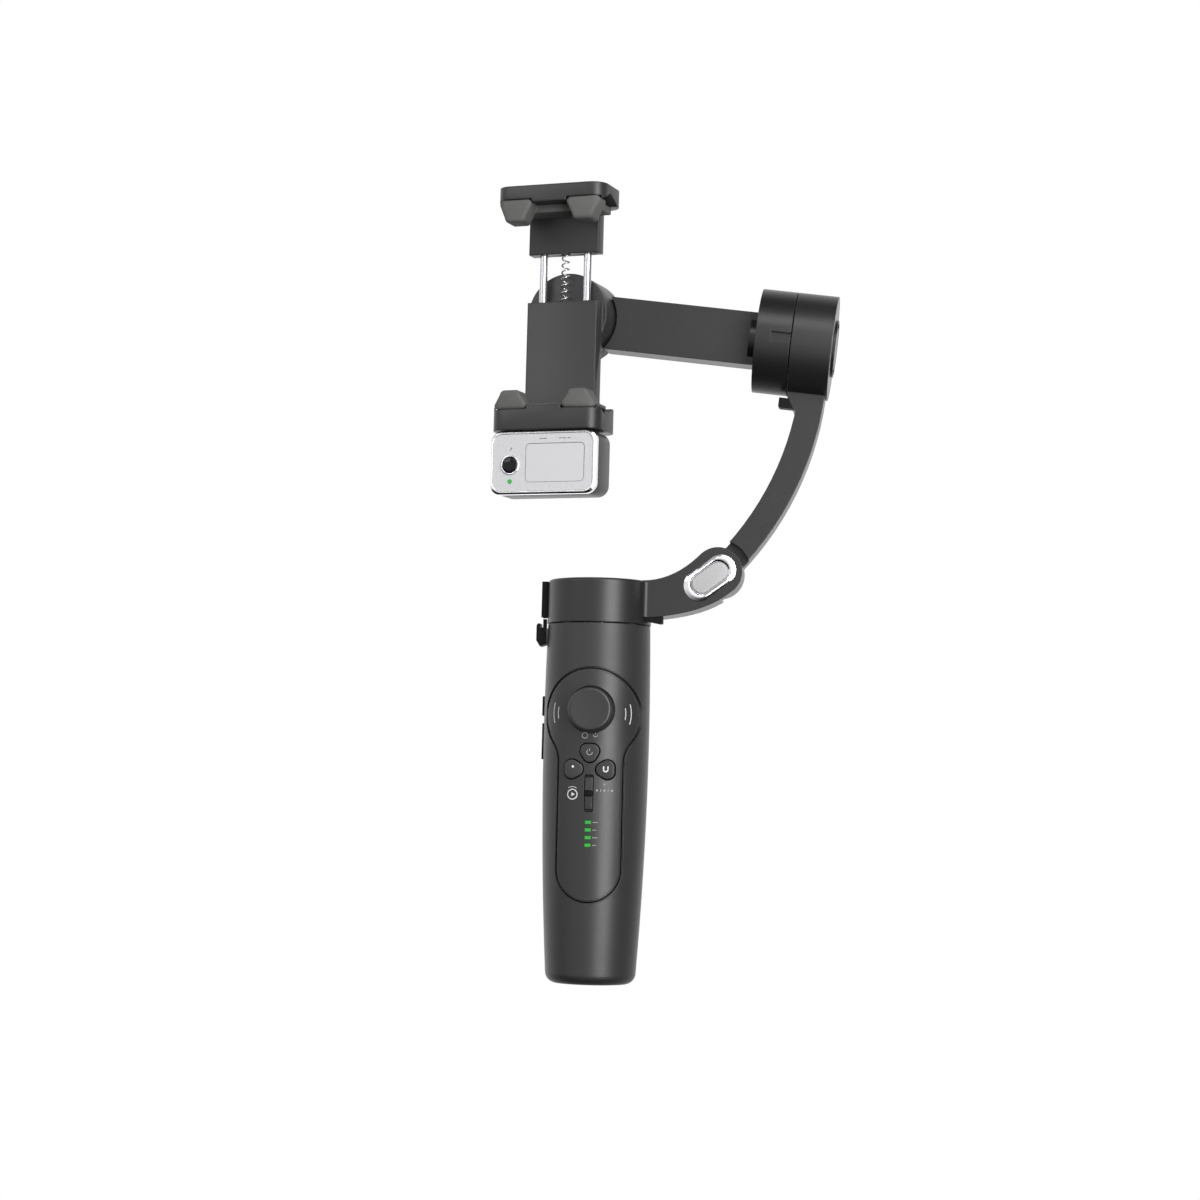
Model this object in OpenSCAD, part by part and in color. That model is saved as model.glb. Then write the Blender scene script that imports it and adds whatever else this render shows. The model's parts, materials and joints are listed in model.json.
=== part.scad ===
// Three-axis handheld camera gimbal with a folding arm, a clip-on remote and a tracking light.
// Origin at the mouth of the tripod socket, +Z up the grip, -Y towards the user, +X the arm side.

/* [Grip] */
// Length of the grip below the pan motor
grip_len = 142.9; // [130:0.1:155]
// Largest radius of the grip
grip_r_max = 21.25; // [20:0.05:23]
// Height of the grip's widest ring
grip_belly_z = 100; // [90:1:110]
// Radius lost per square millimetre away from the belly
grip_taper = 0.00034; // [0.0003:0.00001:0.0004]
// Rounding of the grip's lower edge
grip_edge = 4.5; // [3:0.1:5]
// Wall of the grip shells
wall = 2; // [1.6:0.1:2.4]

/* [Remote panel] */
// Radius of the panel's round head
head_r = 18.9; // [18:0.1:19.2]
// Height of the head's centre, where the stick sits
head_z = 106.2; // [104:0.1:108]
// Half width of the panel's tongue
tongue_r = 13; // [12:0.1:14]
// Height of the tongue's round end centre
tongue_z = 45.3; // [44:0.1:50]
// Radius of the joystick cap
stick_r = 8.7; // [8:0.1:8.8]

/* [Pan housing and arms] */
// Radius of the pan housing
pan_r = 20.9; // [20.5:0.1:21.2]
// Height of the pan housing's top
pan_top = 161; // [159:0.5:163]
// Fold axis, distance from the grip's centre
fold_x = 48; // [47.5:0.1:48.5]
// Fold axis, height
fold_z = 165; // [164.5:0.1:165.5]
// Radius of the lower arm's head
fold_r = 9.8; // [9.5:0.1:10]
// Width of the upper arm's bar
bar_w = 10.5; // [9.5:0.1:11]
// Radius of the upper arm's curve
bar_curve = 121.9; // [121.5:0.1:122.3]

/* [Tilt drum] */
// Radius of the tilt drum
drum_r = 21; // [20.5:0.1:21.5]
// Length of the tilt drum
drum_len = 30.5; // [30:0.1:31]
// Slope of the tilt axis
drum_slope = 6; // [5:0.5:7]

/* [Phone clamp] */
// Height of the phone that the jaws hold
phone_w = 76.7; // [74:0.1:80]
// Thickness of the phone
phone_t = 8.3; // [7:0.1:9]
// Width of both jaws
jaw_w = 46; // [42:1:50]
// Turn of the clamp about the vertical
clamp_yaw = 14.4; // [13:0.1:15]

/* [Hidden] */

$fn = 64;
eps = 0.01;
big = 400;

// grip
split_y = 6;
floor_t = 3;
socket_r = 5.2;
socket_flange_r = 8.7;
socket_flange_t = 1.5;
socket_len = 11;
socket_bore_r = 3.175;
socket_depth = 9;
boss_x = 15;
boss_zs = [24, 129];
boss_r = 2.4;
screw_r = 0.9;
screw_head_r = 1.7;
cell_r = 9.2;
cell_y = 7;
cell_z = 15;
cell_len = 65;
board_y = -6.6;
board_t = 1.4;
mount_z = 138;
mount_r = 18.6;
button_x = -22;
button_z = 110.2;
port_z = 96;
hinge_x = -21.1;
hinge_y = 2.7;

// remote panel
dock_y = -9;
dock_t = 1.4;
neck_r = 14;
panel_gap = 0.4;
panel_proud = 0.5;
panel_edge = 0.6;
rim_edge = 0.45;
panel_wall = 1.5;
base_t = 1.5;
remote_board_y = -13.2;
dish_r = 9.4;
dish_y = -18.8;
stick_pivot_y = -15;
stick_z = 108.4;
power_z = 91.5;
pair_x = 6.5;
pair_z = 84.8;
key_r = 4;
key_corner = 2.8;
key_turn = 30;
zoom_z = 75.4;
zoom_w = 3.7;
zoom_len = 14.7;
zoom_cover = 9.1;
zoom_travel = 0.8;
control_gap = 0.4;
led_zs = [55, 58, 61, 64];

// motors: the same motor turns all three axes
gap_z = 143.2;
stator_r = 11.8;
bell_r = 14.6;
magnet_in = 12.3;
motor_h = 11.6;
shaft_r = 2;
shaft_fit = 0.05;
bearing_r = 4;
post_r = 5.2;
post_h = 9;
post_drop = 8;

// pan housing and arms
pan_bottom = 143.4;
pan_wall = 1.8;
arm_front = -9;
arm_rear = 6.5;
root_r = 2.5;
cover_t = 1.5;
lap_y = -1;
lap_gap = 0.3;
lap_clear = 11;
pin_r = 3;
pin_fit = 0.06;
bar_front = -6;
bar_cx = fold_x - bar_curve * cos(45.7);
bar_cz = fold_z + bar_curve * sin(45.7);
pill_tilt = 37;
pill_x = 44.9;
pill_z = 162.4;

// tilt drum, its own axis along x, drawn from the drum's middle
drum_at = [76.9, 0, 258.2];
drum_gap = -1;
drum_wall = 1.8;
neck_len = 3.4;
link_gap = 0.7;
drum_neck_r = 8.4;
link_h = 21.6;
link_front = -4;
link_rear = 6;
link_end = -88;

// clamp, drawn from the middle of the phone
clamp_at = [-18, -19.8, 268.2];
gap_h = phone_w / 2;
plate_front = 5;
plate_rear = 11;
plate_w = 30;
plate_top = 4.5;
cup_r = 17;
cup_wall = 1.6;
roll_gap_y = 23.4;
roll_back_y = 29.6;
jaw_front = -12.5;
jaw_low = gap_h + 11.5;
jaw_high = gap_h + 10.2;
jaw_corner = 6;
liner_low = 1.8;
liner_high = 3.4;
pad_reach = 4.6;
pad_x = 14.5;
pad_sink = 1.4;
pad_half = 7.2;
pad_back = -phone_t / 2 - 0.9;
rod_x = 9.5;
rod_y = 7.75;
rod_r = 1.6;
leg_bottom = 24;
spring_r = 1.5;
spring_pocket = 21;
module_w = 45.2;
module_h = 25.4;
module_front = -11.5;
module_rear = 4.5;
module_top = -jaw_low - 0.3;
module_corner = 4.5;

// ---------- helpers ----------

// Points along an arc
function arc(c, r, a0, a1, n = 12) =
    [for (i = [0:n]) c + r * [cos(a0 + (a1 - a0) * i / n), sin(a0 + (a1 - a0) * i / n)]];

// Rectangle with round corners, centred
function round_rect(w, h, r) = concat(
    arc([w / 2 - r, h / 2 - r], r, 0, 90, 6),
    arc([-w / 2 + r, h / 2 - r], r, 90, 180, 6),
    arc([-w / 2 + r, -h / 2 + r], r, 180, 270, 6),
    arc([w / 2 - r, -h / 2 + r], r, 270, 360, 6)
);

// Triangle with round corners, pointing down
function round_tri(r, corner) = [
    for (k = [0:2]) each arc(
        (r - corner) * [cos(270 + 120 * k), sin(270 + 120 * k)],
        corner, 210 + 120 * k, 330 + 120 * k, 6
    )
];

// Cubic curve between two points
function bezier(a, b, c, d, n = 10) = [
    for (i = [0:n]) let (t = i / n, s = 1 - t)
        s * s * s * a + 3 * s * s * t * b + 3 * s * t * t * c + t * t * t * d
];

// Radius of the grip at a height
function grip_r(z) = grip_r_max - grip_taper * pow(z - grip_belly_z, 2);

// Outline of the keyhole panel in x and z, grown by g
function keyhole(g) =
    let (nx = tongue_r + neck_r, reach = head_r + neck_r)
    let (nz = head_z - sqrt(reach * reach - nx * nx))
    let (turn = atan2(head_z - nz, -nx))
    concat(
        arc([0, tongue_z], tongue_r + g, 180, 360, 20),
        arc([nx, nz], neck_r - g, 180, turn, 6),
        arc([0, head_z], head_r + g, turn - 180, 360 - turn, 36),
        arc([-nx, nz], neck_r - g, 180 - turn, 0, 6)
    );

// An outline in x and z, drawn between two depths
module upright(y0, y1) {
    translate([0, y1, 0]) rotate([90, 0, 0]) linear_extrude(y1 - y0) children();
}

// A cylinder along y
module rod_y(r, y0, y1, at = [0, 0]) {
    translate([at.x, y1, at.y]) rotate([90, 0, 0]) cylinder(r = r, h = y1 - y0);
}

// A box between two corners
module box(a, b) {
    translate(a) cube(b - a);
}

// The grip's solid of revolution, grown by g, between two heights
module grip_solid(g, z0, z1) {
    steps = 12;
    rotate_extrude($fn = 96) polygon(concat(
        [[0, z0]],
        [for (i = [0:steps]) let (z = z0 + (z1 - z0) * i / steps) [grip_r(z) + g, z]],
        [[0, z1]]
    ));
}

// The grip's outside with its rounded lower edge
module grip_outside() {
    r = grip_r(grip_edge);
    steps = 14;
    rotate_extrude($fn = 96) polygon(concat(
        [[0, 0]],
        arc([r - grip_edge, grip_edge], grip_edge, -90, 0, 8),
        [for (i = [1:steps]) let (z = grip_edge + (grip_len - grip_edge) * i / steps)
            [grip_r(z), z]],
        [[0, grip_len]]
    ));
}

// Frames of the drum and of the clamp
module in_drum() {
    translate(drum_at) rotate([0, drum_slope, 0]) children();
}
module in_clamp() {
    translate(clamp_at) rotate([0, 0, -clamp_yaw]) children();
}

// Motor frames: z is the motor's axis, 0 the parting gap, + the turning side
module at_pan() {
    translate([0, 0, gap_z]) children();
}
module at_tilt() {
    in_drum() translate([drum_gap, 0, 0]) rotate([0, -90, 0]) children();
}
module at_roll() {
    in_clamp() translate([0, roll_gap_y, 0]) rotate([90, 0, 0]) children();
}

// ---------- motor pieces ----------

module stator() {
    poles = 9;
    core_r = 7.4;
    translate([0, 0, 1.6]) difference() {
        union() {
            cylinder(r = core_r, h = 7.4);
            for (i = [0:poles - 1]) rotate(i * 360 / poles) {
                translate([core_r - 0.4, -1.1, 0.6]) cube([3.6, 2.2, 6.2]);
                translate([core_r + 0.4, -1.8, 1]) cube([1.9, 3.6, 5.4]);
                translate([stator_r - 1.6, -2.9, 0.6]) cube([1.2, 5.8, 6.2]);
            }
        }
        translate([0, 0, -1]) cylinder(r = post_r, h = 10);
    }
}

module rotor() {
    difference() {
        translate([0, 0, 0.8]) cylinder(r = bell_r, h = motor_h - 0.8);
        translate([0, 0, 0.7]) cylinder(r = magnet_in, h = motor_h - 2);
    }
    translate([0, 0, -7.6]) cylinder(r = shaft_r, h = motor_h + 7);
}

module bearings() {
    for (z = [-7, 5]) translate([0, 0, z]) difference() {
        cylinder(r = bearing_r, h = 3);
        translate([0, 0, -1]) cylinder(r = shaft_r + shaft_fit, h = 5);
    }
}

// Hollow post that carries the stator and the bearings
module post(root) {
    difference() {
        translate([0, 0, root]) cylinder(r = post_r, h = post_h - root);
        translate([0, 0, -post_drop]) cylinder(r = bearing_r, h = post_h + post_drop + 1);
    }
}

// ---------- grip ----------

module grip_shell() {
    difference() {
        grip_outside();
        grip_solid(-wall, floor_t, grip_len + 1);
        translate([0, 0, -1]) cylinder(r = socket_r, h = floor_t + 2);
        translate([0, 0, -1]) cylinder(r = socket_flange_r, h = socket_flange_t + 1);
    }
}

module screw_places() {
    for (x = [-boss_x, boss_x], z = boss_zs) translate([x, 0, z]) children();
}

// Screw bosses, running out into the wall
module bosses(y0, y1) {
    for (s = [-1, 1], z = boss_zs) scale([s, 1, 1])
        box([boss_x - boss_r, y0, z - boss_r], [30, y1, z + boss_r]);
}

module front_shell() color("#464648") {
    difference() {
        union() {
            intersection() {
                grip_shell();
                box([-big, -big, -1], [big, split_y, big]);
            }
            intersection() {
                grip_solid(-0.6, floor_t, grip_len - 5);
                upright(-30, dock_y) polygon(keyhole(1.6));
            }
            intersection() {
                grip_solid(-0.6, floor_t, grip_len - 5);
                bosses(-3, split_y);
            }
        }
        upright(-31, dock_y) polygon(keyhole(0));
        difference() {
            upright(-31, dock_y) polygon(keyhole(rim_edge));
            grip_solid(-rim_edge, 0, grip_len);
        }
        screw_places() rod_y(screw_r, -1.5, split_y + 1);
        box([-30, -3.3, port_z - 7.5], [-20.2, 3.3, port_z + 7.5]);
        box([-30, -1.6, port_z - 4.5], [-10, 1.6, port_z + 4.5]);
        box([-30, -2.3, button_z - 4.3], [-10, 2.3, button_z + 4.3]);
    }
}

module rear_shell() color("#3c3c3e") {
    difference() {
        intersection() {
            union() {
                grip_shell();
                intersection() {
                    grip_solid(-0.6, floor_t, grip_len - 5);
                    bosses(split_y, 30);
                }
            }
            box([-big, split_y, -1], [big, big, big]);
        }
        screw_places() rod_y(1.1, split_y - 1, 30);
        screw_places() rod_y(screw_head_r, 10, 30);
    }
}

module case_screws() color("silver") {
    screw_places() {
        rod_y(screw_r, -1, 10);
        difference() {
            rod_y(screw_head_r - 0.1, 10, 11.3);
            rod_y(0.7, 10.6, 12, [0, 0]);
        }
    }
}

module tripod_socket() color("goldenrod") {
    difference() {
        union() {
            cylinder(r = socket_r, h = socket_len);
            cylinder(r = socket_flange_r, h = socket_flange_t);
        }
        translate([0, 0, -1]) cylinder(r = socket_bore_r, h = socket_depth + 1);
    }
}

module battery_cell() color("#2c5f8a") {
    translate([0, cell_y, cell_z]) cylinder(r = cell_r, h = cell_len);
    translate([0, cell_y, cell_z + cell_len]) cylinder(r = 3, h = 1);
}

module battery_cradle() color("#222222") {
    box([-9.8, -4, 12], [9.8, -2.7, 86]);
    box([-9.8, -2.7, 12], [9.8, 11, 14.6]);
    box([-9.8, -2.7, 81.6], [9.8, 11, 84.2]);
}

module main_board() color("#1d5c38") {
    box([-10, board_y, 20], [10, board_y + board_t, 125]);
    box([-5, board_y + board_t, 92], [5, board_y + board_t + 1, 102]);
    box([-4, board_y + board_t, 110], [4, board_y + board_t + 1.2, 116]);
    for (z = [30:8:62]) box([6, board_y + board_t, z], [8, board_y + board_t + 0.8, z + 3]);
}

module dock_plate() color("#1a1a1c") {
    difference() {
        intersection() {
            upright(dock_y, dock_y + dock_t) polygon(keyhole(1.6));
            grip_solid(-wall - 0.05, floor_t, grip_len - 5);
        }
        for (i = [-1, 0, 1]) rod_y(0.8, -10, 0, [i * 4, 50]);
    }
}

module dock_contacts() color("gold") {
    for (i = [-1, 0, 1]) rod_y(0.8, dock_y, board_y, [i * 4, 50]);
}

module charge_port() color("#b5b8bd") {
    difference() {
        box([-20, -1.6, port_z - 4.5], [-12.6, 1.6, port_z + 4.5]);
        box([-21, -1.25, port_z - 4.15], [-13.4, 1.25, port_z + 4.15]);
    }
    box([-19, -0.35, port_z - 3.3], [-13, 0.35, port_z + 3.3]);
}

module motor_mount() color("#8d8f93") {
    difference() {
        translate([0, 0, mount_z]) cylinder(r = mount_r, h = grip_len - 0.1 - mount_z);
        translate([0, 0, mount_z - 1]) cylinder(r = bearing_r, h = 10);
    }
    at_pan() post(-1);
    translate([0, 0, gap_z - post_drop]) difference() {
        cylinder(r = post_r + 1, h = post_drop - gap_z + mount_z + eps);
        translate([0, 0, -1]) cylinder(r = bearing_r, h = 10);
    }
}

module pan_stator() color("#b87333") at_pan() stator();
module pan_bearings() color("silver") at_pan() bearings();

module side_button() color("#101012") {
    box([button_x, -1.9, button_z - 3.9], [-18.4, 1.9, button_z + 3.9]);
    box([-18.6, -3, button_z - 5], [-17.6, 3, button_z + 5]);
}

module port_cover() color("#19191b") {
    box([-21.7, -3, port_z - 7.2], [-20.5, hinge_y, port_z + 7.2]);
    translate([hinge_x, hinge_y, port_z - 7.2]) cylinder(r = 0.55, h = 14.4);
}

module pan_lock() color("#161617") {
    upright(-3.4, 3.4) polygon([
        [-21.2, 135], [-23.6, 134.2], [-25.1, 136.6], [-25.1, 142.6], [-24.6, 143.4],
        [-23.65, 143.4], [-23.65, 141.8], [-21.3, 141.8]
    ]);
    box([-22.7, -1.4, 141], [-21.4, 1.4, 145.3]);
}

// ---------- remote ----------

module remote_blank(g, inset) {
    intersection() {
        grip_solid(g, floor_t, grip_len);
        upright(-30, 0) polygon(keyhole(inset));
    }
}

// The remote's outside, its front edge stepped back to a soft corner
module remote_outside() {
    for (a = [0, 45, 90])
        remote_blank(panel_proud - panel_edge * (1 - cos(a)), -panel_gap - panel_edge * (1 - sin(a)));
}

// Outline of a key: a round-cornered triangle, turned about its middle and grown by g
module key_outline(x, z, turn, g) {
    translate([x, z]) rotate(turn) polygon(round_tri(key_r + g, key_corner + g));
}

// The openings that the panel's controls stand in
module control_holes(gap) {
    rod_y(dish_r, -30, dish_y, [0, stick_z]);
    rod_y(4.6, -30, -10, [0, stick_z]);
    upright(-30, -10) key_outline(0, power_z, 0, gap);
    for (s = [-1, 1]) upright(-30, -10) key_outline(s * pair_x, pair_z, s * key_turn, gap);
    upright(-30, -10) translate([0, zoom_z]) polygon(round_rect(zoom_w, zoom_len, 0.8));
    for (z = led_zs) box([-1.2, -30, z - 0.7], [1.2, -10, z + 0.7]);
}

module remote_cover() color("#3f3f41") {
    difference() {
        intersection() {
            remote_outside();
            box([-big, -big, 0], [big, dock_y - 0.1 - base_t - 0.1, big]);
        }
        difference() {
            remote_blank(-panel_wall, -panel_gap - panel_wall);
            rod_y(dish_r + 1.2, -30, dish_y + 1.2, [0, stick_z]);
        }
        control_holes(control_gap);
    }
}

module remote_base() color("#2b2b2d") {
    intersection() {
        remote_blank(panel_proud, -panel_gap);
        box([-big, dock_y - 0.1 - base_t, 0], [big, dock_y - 0.1, big]);
    }
}

module remote_board() color("#1d5c38") {
    difference() {
        upright(remote_board_y, remote_board_y + 1) intersection() {
            polygon(keyhole(-4));
            translate([-40, 54]) square([80, 80]);
        }
        rod_y(5.2, -20, 0, [0, stick_z]);
    }
    for (s = [-1, 1]) difference() {
        box([s * 6.4 - 1, -16.4, stick_z - 1.4], [s * 6.4 + 1, remote_board_y, stick_z + 1.4]);
        translate([s * 6.4 - 3, stick_pivot_y, stick_z]) rotate([0, 90, 0])
            cylinder(r = 0.66, h = 6);
    }
}

module remote_cell() color("#8a8d92") {
    box([-8, -15.9, 40], [8, -12.6, 53]);
}

module status_leds() color("#20c830") {
    for (z = led_zs) box([-1.15, -21.2, z - 0.65], [1.15, -15, z + 0.65]);
}

module joystick_ring() color("#55585c") {
    difference() {
        rod_y(5, stick_pivot_y - 0.9, stick_pivot_y + 0.9, [0, stick_z]);
        rod_y(3.6, -20, -10, [0, stick_z]);
        translate([0, stick_pivot_y, stick_z - 6]) cylinder(r = 0.66, h = 12);
    }
    for (s = [-1, 1]) translate([s * 4.8, stick_pivot_y, stick_z])
        rotate([0, s * 90, 0]) cylinder(r = 0.6, h = 2.2);
}

module joystick_cap() color("#333335") {
    translate([0, 0, stick_z]) rotate([90, 0, 0]) rotate_extrude() polygon(concat(
        [[0, 15], [2.1, 15], [2.1, 22.4], [4.5, 23.7], [stick_r - 0.6, 24.2], [stick_r, 24.8]],
        arc([stick_r - 1.1, 25.4], 1.1, 0, 90, 6),
        [[stick_r - 2.2, 26.45], [3, 26.25], [0, 26.2]]
    ));
    translate([0, stick_pivot_y, stick_z]) sphere(r = 2.7);
    translate([0, stick_pivot_y, stick_z - 4.6]) cylinder(r = 0.6, h = 9.2);
}

module power_button() color("#39393b") upright(-22.2, -14.2) key_outline(0, power_z, 0, 0);
module left_button() color("#39393b")
    upright(-21.3, -14.2) key_outline(-pair_x, pair_z, -key_turn, 0);
module right_button() color("#39393b")
    upright(-21.3, -14.2) key_outline(pair_x, pair_z, key_turn, 0);

module zoom_slider() color("#161618") {
    half_w = zoom_w / 2 - 0.3;
    half_len = zoom_len / 2 - zoom_travel - 0.3;
    box([-half_w, -21.5, zoom_z - half_len], [half_w, -18.2, zoom_z + half_len]);
    box([-1.3, -22, zoom_z - 1], [1.3, -21.4, zoom_z + 1]);
    box([-2.3, -19.1, zoom_z - zoom_cover], [2.3, -18.2, zoom_z + zoom_cover]);
}

// ---------- pan housing and lower arm ----------

// Outline of the lower arm, from the housing to the folding head
module arm_outline() {
    polygon(concat(
        bezier([18, 161], [27, 161], [35, 165.5], [41.6, 172.5]),
        [[fold_x, fold_z]],
        bezier([53.6, 157], [46, 150.6], [36, 147.6], [22, 146.2]),
        [[10, 146.2], [10, 161]]
    ));
    translate([fold_x, fold_z]) circle(r = fold_r);
}

module pill(r, reach) {
    translate([pill_x, pill_z]) rotate(pill_tilt) {
        for (s = [-1, 1]) translate([s * reach / 2, 0]) circle(r = r);
        translate([-reach / 2, -r]) square([reach, 2 * r]);
    }
}

// Hollow fillet where the arm's front leaves the housing
module root_fillet() {
    c = [20.38, arm_front - root_r];
    translate([0, 0, 146.3]) linear_extrude(14.1)
        polygon(concat(arc(c, root_r, 150.6, 90, 8), [[20.38, -8], [17.6, -8], [17.6, -10.2]]));
}

module pan_arm() color("#464648") {
    difference() {
        union() {
            root_fillet();
            rotate_extrude($fn = 96) polygon(concat(
                [[0, pan_bottom], [pan_r, pan_bottom]],
                arc([pan_r - 1.2, pan_top - 1.2], 1.2, 0, 90, 5),
                [[0, pan_top]]
            ));
            upright(arm_front, arm_rear) arm_outline();
        }
        translate([0, 0, pan_bottom - 1])
            cylinder(r = pan_r - pan_wall, h = pan_top - pan_wall - pan_bottom + 1);
        rod_y(lap_clear, lap_y, 20, [fold_x, fold_z]);
        rod_y(pin_r, -7, 20, [fold_x, fold_z]);
        upright(-10, -8.2) pill(6.2, 10.6);
        upright(-7, 20) polygon([
            [22, 149.5], [22, 158.6], [28, 159.6], [34.5, 162.5], [34.5, 153.5], [29, 151]
        ]);
    }
    translate([0, 0, gap_z + motor_h])
        cylinder(r = 8, h = pan_top - pan_wall - gap_z - motor_h + eps);
}

module pan_arm_cover() color("#3c3c3e") {
    difference() {
        upright(arm_rear, arm_rear + cover_t) arm_outline();
        rod_y(lap_clear, 0, 20, [fold_x, fold_z]);
        translate([0, 0, 140]) cylinder(r = pan_r + 0.05, h = 30);
    }
}

module pan_stop() color("#111112") {
    difference() {
        upright(-8.6, -4.6)
            polygon([[19, 148], [26.4, 148], [26.4, 143.8], [25.4, 143.6], [19, 144.8]]);
        translate([0, 0, 140]) cylinder(r = pan_r + 0.05, h = 30);
        upright(-20, 20) arm_outline();
    }
}

module lock_keeper() color("#161617") {
    difference() {
        box([-23.3, -3, 145.9], [-20, 3, 160.4]);
        translate([0, 0, 140]) cylinder(r = pan_r, h = 30);
        box([-24, -1.8, 145], [-20, 1.8, 149]);
    }
}

module fold_ring() color("#e6e6ea") {
    upright(-9.9, -8.2) difference() {
        pill(6.2, 10.6);
        pill(3.7, 8);
    }
}

module fold_insert() color("#bdbdbd") {
    upright(-9.4, -8.2) pill(3.7, 8);
}

module fold_pin() color("silver") {
    rod_y(pin_r, -7, 8.3, [fold_x, fold_z]);
    difference() {
        rod_y(5.4, 8.3, 9.5, [fold_x, fold_z]);
        rod_y(1.6, 8.8, 10, [fold_x, fold_z]);
    }
}

module pan_rotor() color("#77797d") at_pan() rotor();

// ---------- upper arm ----------

// The bar of the upper arm, seen from the front
module bar_outline(w) {
    a0 = -46;
    a1 = 1;
    polygon(concat(
        arc([bar_cx, bar_cz], bar_curve + w / 2, a0, a1, 18),
        arc([bar_cx, bar_cz], bar_curve - w / 2, a1, a0, 18)
    ));
}

module upper_arm() color("#464648") {
    difference() {
        union() {
            upright(bar_front, arm_rear) bar_outline(bar_w);
            rod_y(fold_r, lap_y + lap_gap, arm_rear, [fold_x, fold_z]);
            in_drum() translate([-0.8, 0, 0]) rotate([0, 90, 0])
                cylinder(r = drum_r, h = drum_len / 2 + 0.8);
            in_drum() upright(bar_front, arm_rear)
                polygon([[-0.8, -19], [-0.8, -21.6], [2.6, -27.5], [7, -27.5], [7, -19]]);
        }
        rod_y(13, -20, lap_y + lap_gap, [fold_x, fold_z]);
        rod_y(pin_r + pin_fit, -20, 20, [fold_x, fold_z]);
        upright(bar_front + 1.8, 20) intersection() {
            bar_outline(bar_w - 3.8);
            translate([0, 180]) square([200, 55]);
        }
        in_drum() translate([0.8, 0, 0]) rotate([0, 90, 0])
            cylinder(r = drum_r - drum_wall, h = drum_len);
        at_tilt() translate([0, 0, -post_drop]) cylinder(r = bearing_r, h = 30);
    }
    at_tilt() post(-1);
    at_tilt() translate([0, 0, -post_drop]) difference() {
        cylinder(r = post_r + 1, h = post_drop - 1.7);
        translate([0, 0, -1]) cylinder(r = bearing_r, h = 10);
    }
}

module upper_arm_cover() color("#3c3c3e") {
    difference() {
        union() {
            upright(arm_rear, arm_rear + cover_t) bar_outline(bar_w);
            rod_y(fold_r, arm_rear, arm_rear + cover_t, [fold_x, fold_z]);
        }
        rod_y(pin_r + pin_fit, -20, 20, [fold_x, fold_z]);
        in_drum() rotate([0, 90, 0]) translate([0, 0, -60]) cylinder(r = drum_r + 0.02, h = 120);
    }
}

module tilt_cap() color("#66666a") {
    in_drum() translate([drum_len / 2 - 1.8, 0, 0]) rotate([0, 90, 0]) difference() {
        union() {
            cylinder(r = drum_r - drum_wall, h = 1.8);
            cylinder(r = 11.5, h = 2.8);
        }
        translate([0, 0, 2]) difference() {
            cylinder(r = 10.6, h = 2);
            cylinder(r = 8.4, h = 2);
        }
    }
}

module tilt_stop() color("#111112") {
    difference() {
        in_drum() upright(-7, -2)
            polygon([[-3.6, -23], [0, -23], [2.36, -27.1], [-3, -27.1], [-3.6, -26.5]]);
        in_drum() rotate([0, 90, 0]) translate([0, 0, -60]) cylinder(r = drum_r + 0.35, h = 120);
    }
}

module tilt_stator() color("#b87333") at_tilt() stator();
module tilt_bearings() color("silver") at_tilt() bearings();

// ---------- tilt cup and link ----------

module tilt_cup() color("#4a4a4e") {
    left = -drum_len / 2;
    depth = drum_len / 2 - 1.2;
    in_drum() {
        difference() {
            translate([left, 0, 0]) rotate([0, 90, 0]) cylinder(r = drum_r, h = depth);
            translate([left + drum_wall, 0, 0]) rotate([0, 90, 0])
                cylinder(r = drum_r - drum_wall, h = depth);
            box([-9, -drum_r - 1, -3.4], [0, -drum_r + 1, 0.8]);
        }
        translate([left + 1, 0, 0]) rotate([0, 90, 0])
            cylinder(r = 8, h = drum_gap - motor_h - left - 1);
        translate([left - neck_len, 0, 0]) rotate([0, 90, 0])
            cylinder(r = drum_neck_r, h = neck_len + 0.1);
    }
}

module roll_room() {
    in_clamp() rod_y(cup_r + 0.6, -60, roll_gap_y + 0.2);
}

// Where the drum's neck passes into the link
module neck_room() {
    in_drum() translate([-drum_len / 2 - neck_len - 0.02, 0, 0]) rotate([0, 90, 0])
        cylinder(r = drum_neck_r + 0.02, h = neck_len + 1);
}

module link_arm() color("#333335") {
    difference() {
        union() {
            in_drum() box([link_end, link_front, -link_h / 2],
                [-drum_len / 2 - link_gap, link_rear, link_h / 2]);
            in_clamp() rod_y(cup_r, roll_gap_y + 0.2, roll_back_y);
        }
        in_drum() box([-70, link_front + 1.8, -link_h / 2 + 2],
            [-20, 20, link_h / 2 - 2]);
        neck_room();
        roll_room();
        at_roll() translate([0, 0, -post_drop]) cylinder(r = bearing_r, h = 30);
    }
    at_roll() post(-1);
    at_roll() translate([0, 0, -post_drop]) difference() {
        translate([0, 0, -1.2]) cylinder(r = post_r + 1, h = 3.2);
        cylinder(r = bearing_r, h = 10);
    }
}

module link_cover() color("#3c3c3e") {
    difference() {
        in_drum() box([link_end, link_rear, -link_h / 2],
            [-drum_len / 2 - link_gap, link_rear + cover_t, link_h / 2]);
        neck_room();
        in_clamp() rod_y(cup_r + 0.05, -60, 60);
    }
}

module tilt_rotor() color("#77797d") at_tilt() rotor();
module roll_stator() color("#b87333") at_roll() stator();
module roll_bearings() color("silver") at_roll() bearings();

// ---------- clamp ----------

// A jaw's slab with round front corners, between two heights
module jaw_slab(z0, z1) {
    translate([0, 0, z0]) linear_extrude(z1 - z0) jaw_plan(0);
}

// Plan of a jaw, grown by g
module jaw_plan(g) {
    translate([0, (jaw_front + plate_rear) / 2])
        polygon(round_rect(jaw_w + 2 * g, plate_rear - jaw_front + 2 * g, jaw_corner + g));
}

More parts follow.
